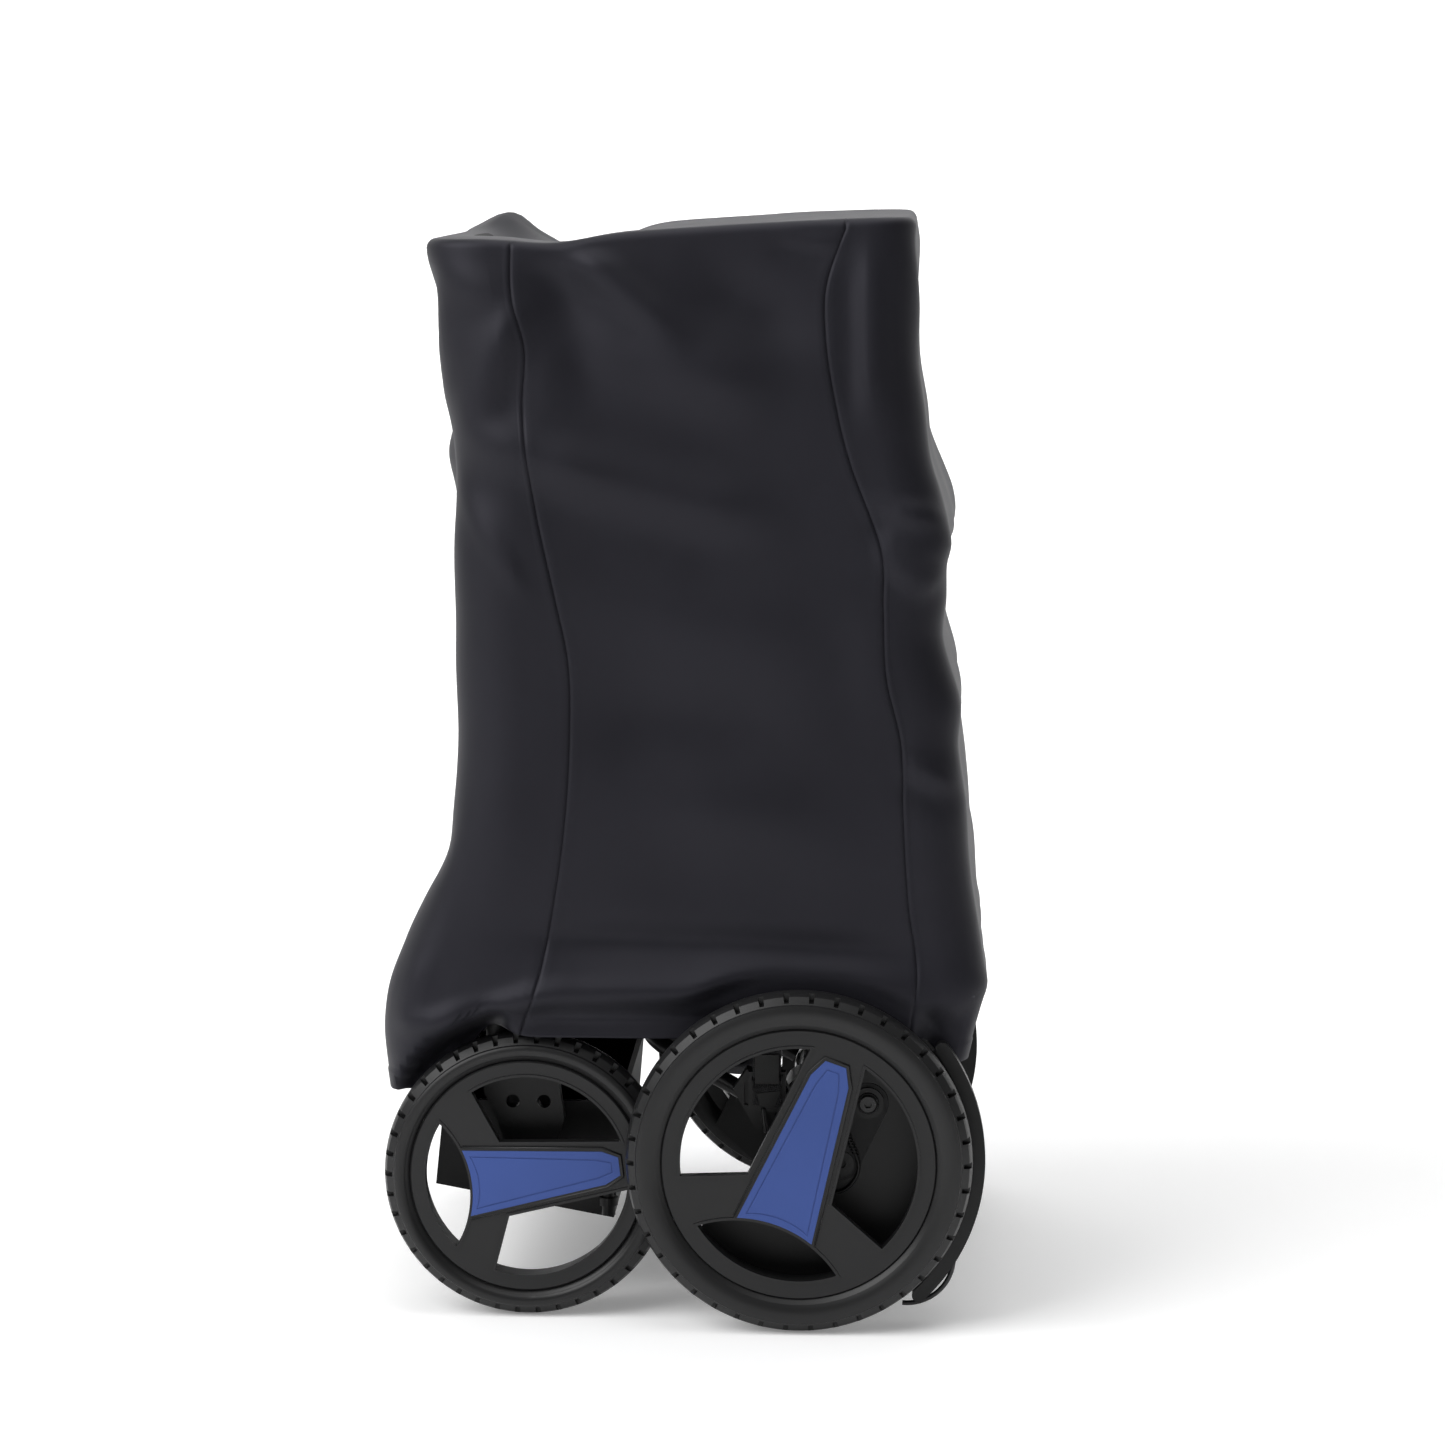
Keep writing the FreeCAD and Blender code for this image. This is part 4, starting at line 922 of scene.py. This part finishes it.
def make_cushion():
    """The cabin's cushion on its floor board: a crowned pad with three sewn channels, its two faces joined
    round the edge.
    """
    low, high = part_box("cushion")
    middle = (np.array(low) + np.array(high)) / 2
    half = (np.array(high) - np.array(low)) / 2 - np.array([0.002, 0.004, 0.004])
    rows = 96
    columns = 60
    vertices = []
    for face in (-1, 1):
        for row in range(rows + 1):
            v = 2 * row / rows - 1
            for column in range(columns + 1):
                u = 2 * column / columns - 1
                crown = ((1 - abs(u) ** 5) * (1 - abs(v) ** 9)) ** 0.5
                channel = sum(float(bell(v - place, 0.022)) for place in (-0.5, 0.0, 0.5))
                thick = half[0] * crown * (1 - 0.34 * channel) * (0.55 if face > 0 else 1.0)
                pull = 1 - 0.015 * math.cos(v * 1.57) * (1 - crown)
                shift = half[0] * 0.45
                vertices.append((middle[0] + shift + face * thick * (1 if face > 0 else 1.2) - 0.004,
                                 middle[1] + u * half[1] * pull, middle[2] + v * half[2]))
    faces = []
    width = columns + 1
    total = (rows + 1) * width
    for row in range(rows):
        for column in range(columns):
            a = row * width + column
            faces.append((a, a + width, a + width + 1, a + 1))
            faces.append((total + a, total + a + 1, total + a + width + 1, total + a + width))
    cushion = new_piece("cabin_cushion", vertices, faces, "rear_frame", CABIN)
    weld = cushion.modifiers.new("sewn edge", "WELD")
    weld.merge_threshold = 0.0002
    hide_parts("cushion")


def pleated_sheet(name, profile, half, body, material, node, sag):
    """A sheet folded to and fro along a profile in the XZ plane, with soft sags across it."""
    profile = np.array(profile)
    turn = np.linspace(0, len(profile) - 1, 12 * (len(profile) - 1) + 1)
    first = np.minimum(turn.astype(int), len(profile) - 2)
    t = smooth(turn - first)[:, None]
    line = profile[first] * (1 - t) + profile[first + 1] * t
    across = 40
    vertices = []
    for step in range(across + 1):
        y = half * (2 * step / across - 1)
        drop = sag * math.cos(y / half * 1.5) * (1 + 0.3 * np.sin(line[:, 0] * 40 + step * 0.5))
        for (x, z), down in zip(line, drop):
            vertices.append((x, y, z - down))
    count = len(line)
    faces = []
    for step in range(across):
        for index in range(count - 1):
            a = step * count + index
            faces.append((a, a + count, a + count + 1, a + 1))
    cloth = new_piece(name, vertices, faces, body, material)
    skin = cloth.modifiers.new("cloth thickness", "SOLIDIFY")
    skin.thickness = 0.0008
    skin.offset = 0
    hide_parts(node)
    return cloth


def make_canopy():
    """The canopy's cloth, gathered in flat pleats behind its bow."""
    profile = [
        (0.136, 0.9020), (-0.086, 0.9165), (-0.094, 0.9140), (0.090, 0.9030), (0.096, 0.9010),
        (-0.084, 0.9110), (-0.090, 0.9085), (0.060, 0.8995), (0.066, 0.8975), (-0.080, 0.9040),
    ]
    cloth = pleated_sheet("canopy_fabric", profile, 0.114, "canopy", CABIN, "canopy_cloth", 0.0015)


def make_basket():
    """The storage basket, folded up: a trough of cloth with its rim drawn together."""
    outline = [
        (-0.018, 0.208), (0.012, 0.194), (0.040, 0.183), (0.074, 0.188),
        (0.081, 0.226), (0.050, 0.247), (-0.015, 0.251),
    ]
    loop = closed_curve(outline, 90)
    heart = loop.mean(axis=0)
    across = 48
    rings = []
    for step in range(across + 1):
        y = 0.118 * (2 * step / across - 1)
        close = 1 - 0.55 * (abs(y) / 0.118) ** 6
        wave = 1 - 0.06 * (1 + np.sin(loop[:, 1] * 190 + step * 0.7) * np.cos(step * 0.37 + loop[:, 0] * 60))
        spot = heart + (loop - heart) * (close * wave)[:, None]
        rings.append(np.column_stack([spot[:, 0], np.full(len(loop), y), spot[:, 1]]))
    vertices = list(np.concatenate(rings))
    faces = [face[::-1] for face in grid_faces(len(rings), len(loop))]
    basket = new_piece("basket_fabric", vertices, faces, "rear_frame", CABIN)
    skin = basket.modifiers.new("cloth thickness", "SOLIDIFY")
    skin.thickness = 0.001
    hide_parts("storage_basket")


def make_strap():
    """The webbing strap above the buckle: flat, a little curved, with thicker edges."""
    low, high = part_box("strap")
    rows = 60
    columns = 10
    vertices = []
    for row in range(rows + 1):
        v = row / rows
        z = low[2] + (high[2] - low[2]) * v
        bow = 0.0009 * math.sin(v * 5.2 + 0.4)
        for column in range(columns + 1):
            u = column / columns
            edge = 0.0003 * (abs(2 * u - 1) > 0.75)
            vertices.append((low[0] + (high[0] - low[0]) * u, (low[1] + high[1]) / 2 + bow - edge, z))
    faces = []
    for row in range(rows):
        for column in range(columns):
            a = row * (columns + 1) + column
            faces.append((a, a + 1, a + columns + 2, a + columns + 1))
    strap = new_piece("tie_strap", vertices, faces, "rear_frame", WEBBING)
    skin = strap.modifiers.new("webbing thickness", "SOLIDIFY")
    skin.thickness = 0.0014
    skin.offset = 0
    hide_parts("strap")


make_cabin()
make_cushion()
make_canopy()
make_basket()
make_strap()


# ---------------------------------------------------------------- floor, lights and camera

def make_floor():
    """A plain pale floor that curves up into a backdrop far behind."""
    profile = [(-9.0, 0.0), (2.2, 0.0)]
    for step in range(1, 13):
        turn = math.radians(90 * step / 12)
        profile.append((2.2 + 2.0 * math.sin(turn), 2.0 - 2.0 * math.cos(turn)))
    profile.append((4.2, 9.0))
    vertices = []
    for y, z in profile:
        vertices += [(-12.0, y, z), (12.0, y, z)]
    faces = [(2 * i, 2 * i + 1, 2 * i + 3, 2 * i + 2) for i in range(len(profile) - 1)]
    mesh = bpy.data.meshes.new("studio_floor")
    mesh.from_pydata(vertices, [], faces)
    mesh.shade_smooth()
    floor = bpy.data.objects.new("studio_floor", mesh)
    bpy.context.scene.collection.objects.link(floor)
    paper, shader = new_material("studio_paper", (0.93, 0.93, 0.93), 0.95, specular=0.0)
    shader.inputs["Emission Color"].default_value = (1, 1, 1, 1)
    shader.inputs["Emission Strength"].default_value = 0.2
    grain(paper, shader, 300.0, 0.02, 0.0002)
    mesh.materials.append(paper)


def add_light(name, place, aim, width, height, power):
    """A soft rectangular light."""
    light = bpy.data.lights.new(name, "AREA")
    light.shape = "RECTANGLE"
    light.size = width
    light.size_y = height
    light.energy = power
    lamp = bpy.data.objects.new(name, light)
    lamp.location = place
    lamp.rotation_euler = (Vector(aim) - Vector(place)).to_track_quat("-Z", "Y").to_euler()
    bpy.context.scene.collection.objects.link(lamp)


def light_studio():
    """Pale surroundings, a large key light from the left, one from above and one on the backdrop."""
    world = bpy.data.worlds.new("studio")
    bpy.context.scene.world = world
    world.use_nodes = True
    sky = world.node_tree.nodes["Background"]
    sky.inputs["Color"].default_value = (1, 1, 1, 1)
    sky.inputs["Strength"].default_value = 0.16
    add_light("key", (-2.5, -1.7, 2.9), (0.0, 0.0, 0.5), 3.4, 2.8, 138)
    add_light("top", (0.3, 0.0, 3.6), (0.0, 0.0, 0.0), 3.8, 2.6, 62)
    add_light("backdrop", (0.0, 1.6, 3.0), (0.0, 4.2, 1.4), 5.0, 0.8, 75)


def place_camera():
    """The camera, a little to the back of the stroller's middle and looking slightly down."""
    data = bpy.data.cameras.new("camera")
    data.sensor_width = 36
    data.lens = 104.945
    camera = bpy.data.objects.new("camera", data)
    camera.location = (0.1931, -3.870, 1.0384)
    camera.rotation_euler = (math.radians(82.112), 0, math.radians(2.5466))
    bpy.context.scene.collection.objects.link(camera)
    bpy.context.scene.camera = camera


make_floor()
light_studio()
place_camera()
bpy.context.scene.view_settings.view_transform = "Standard"
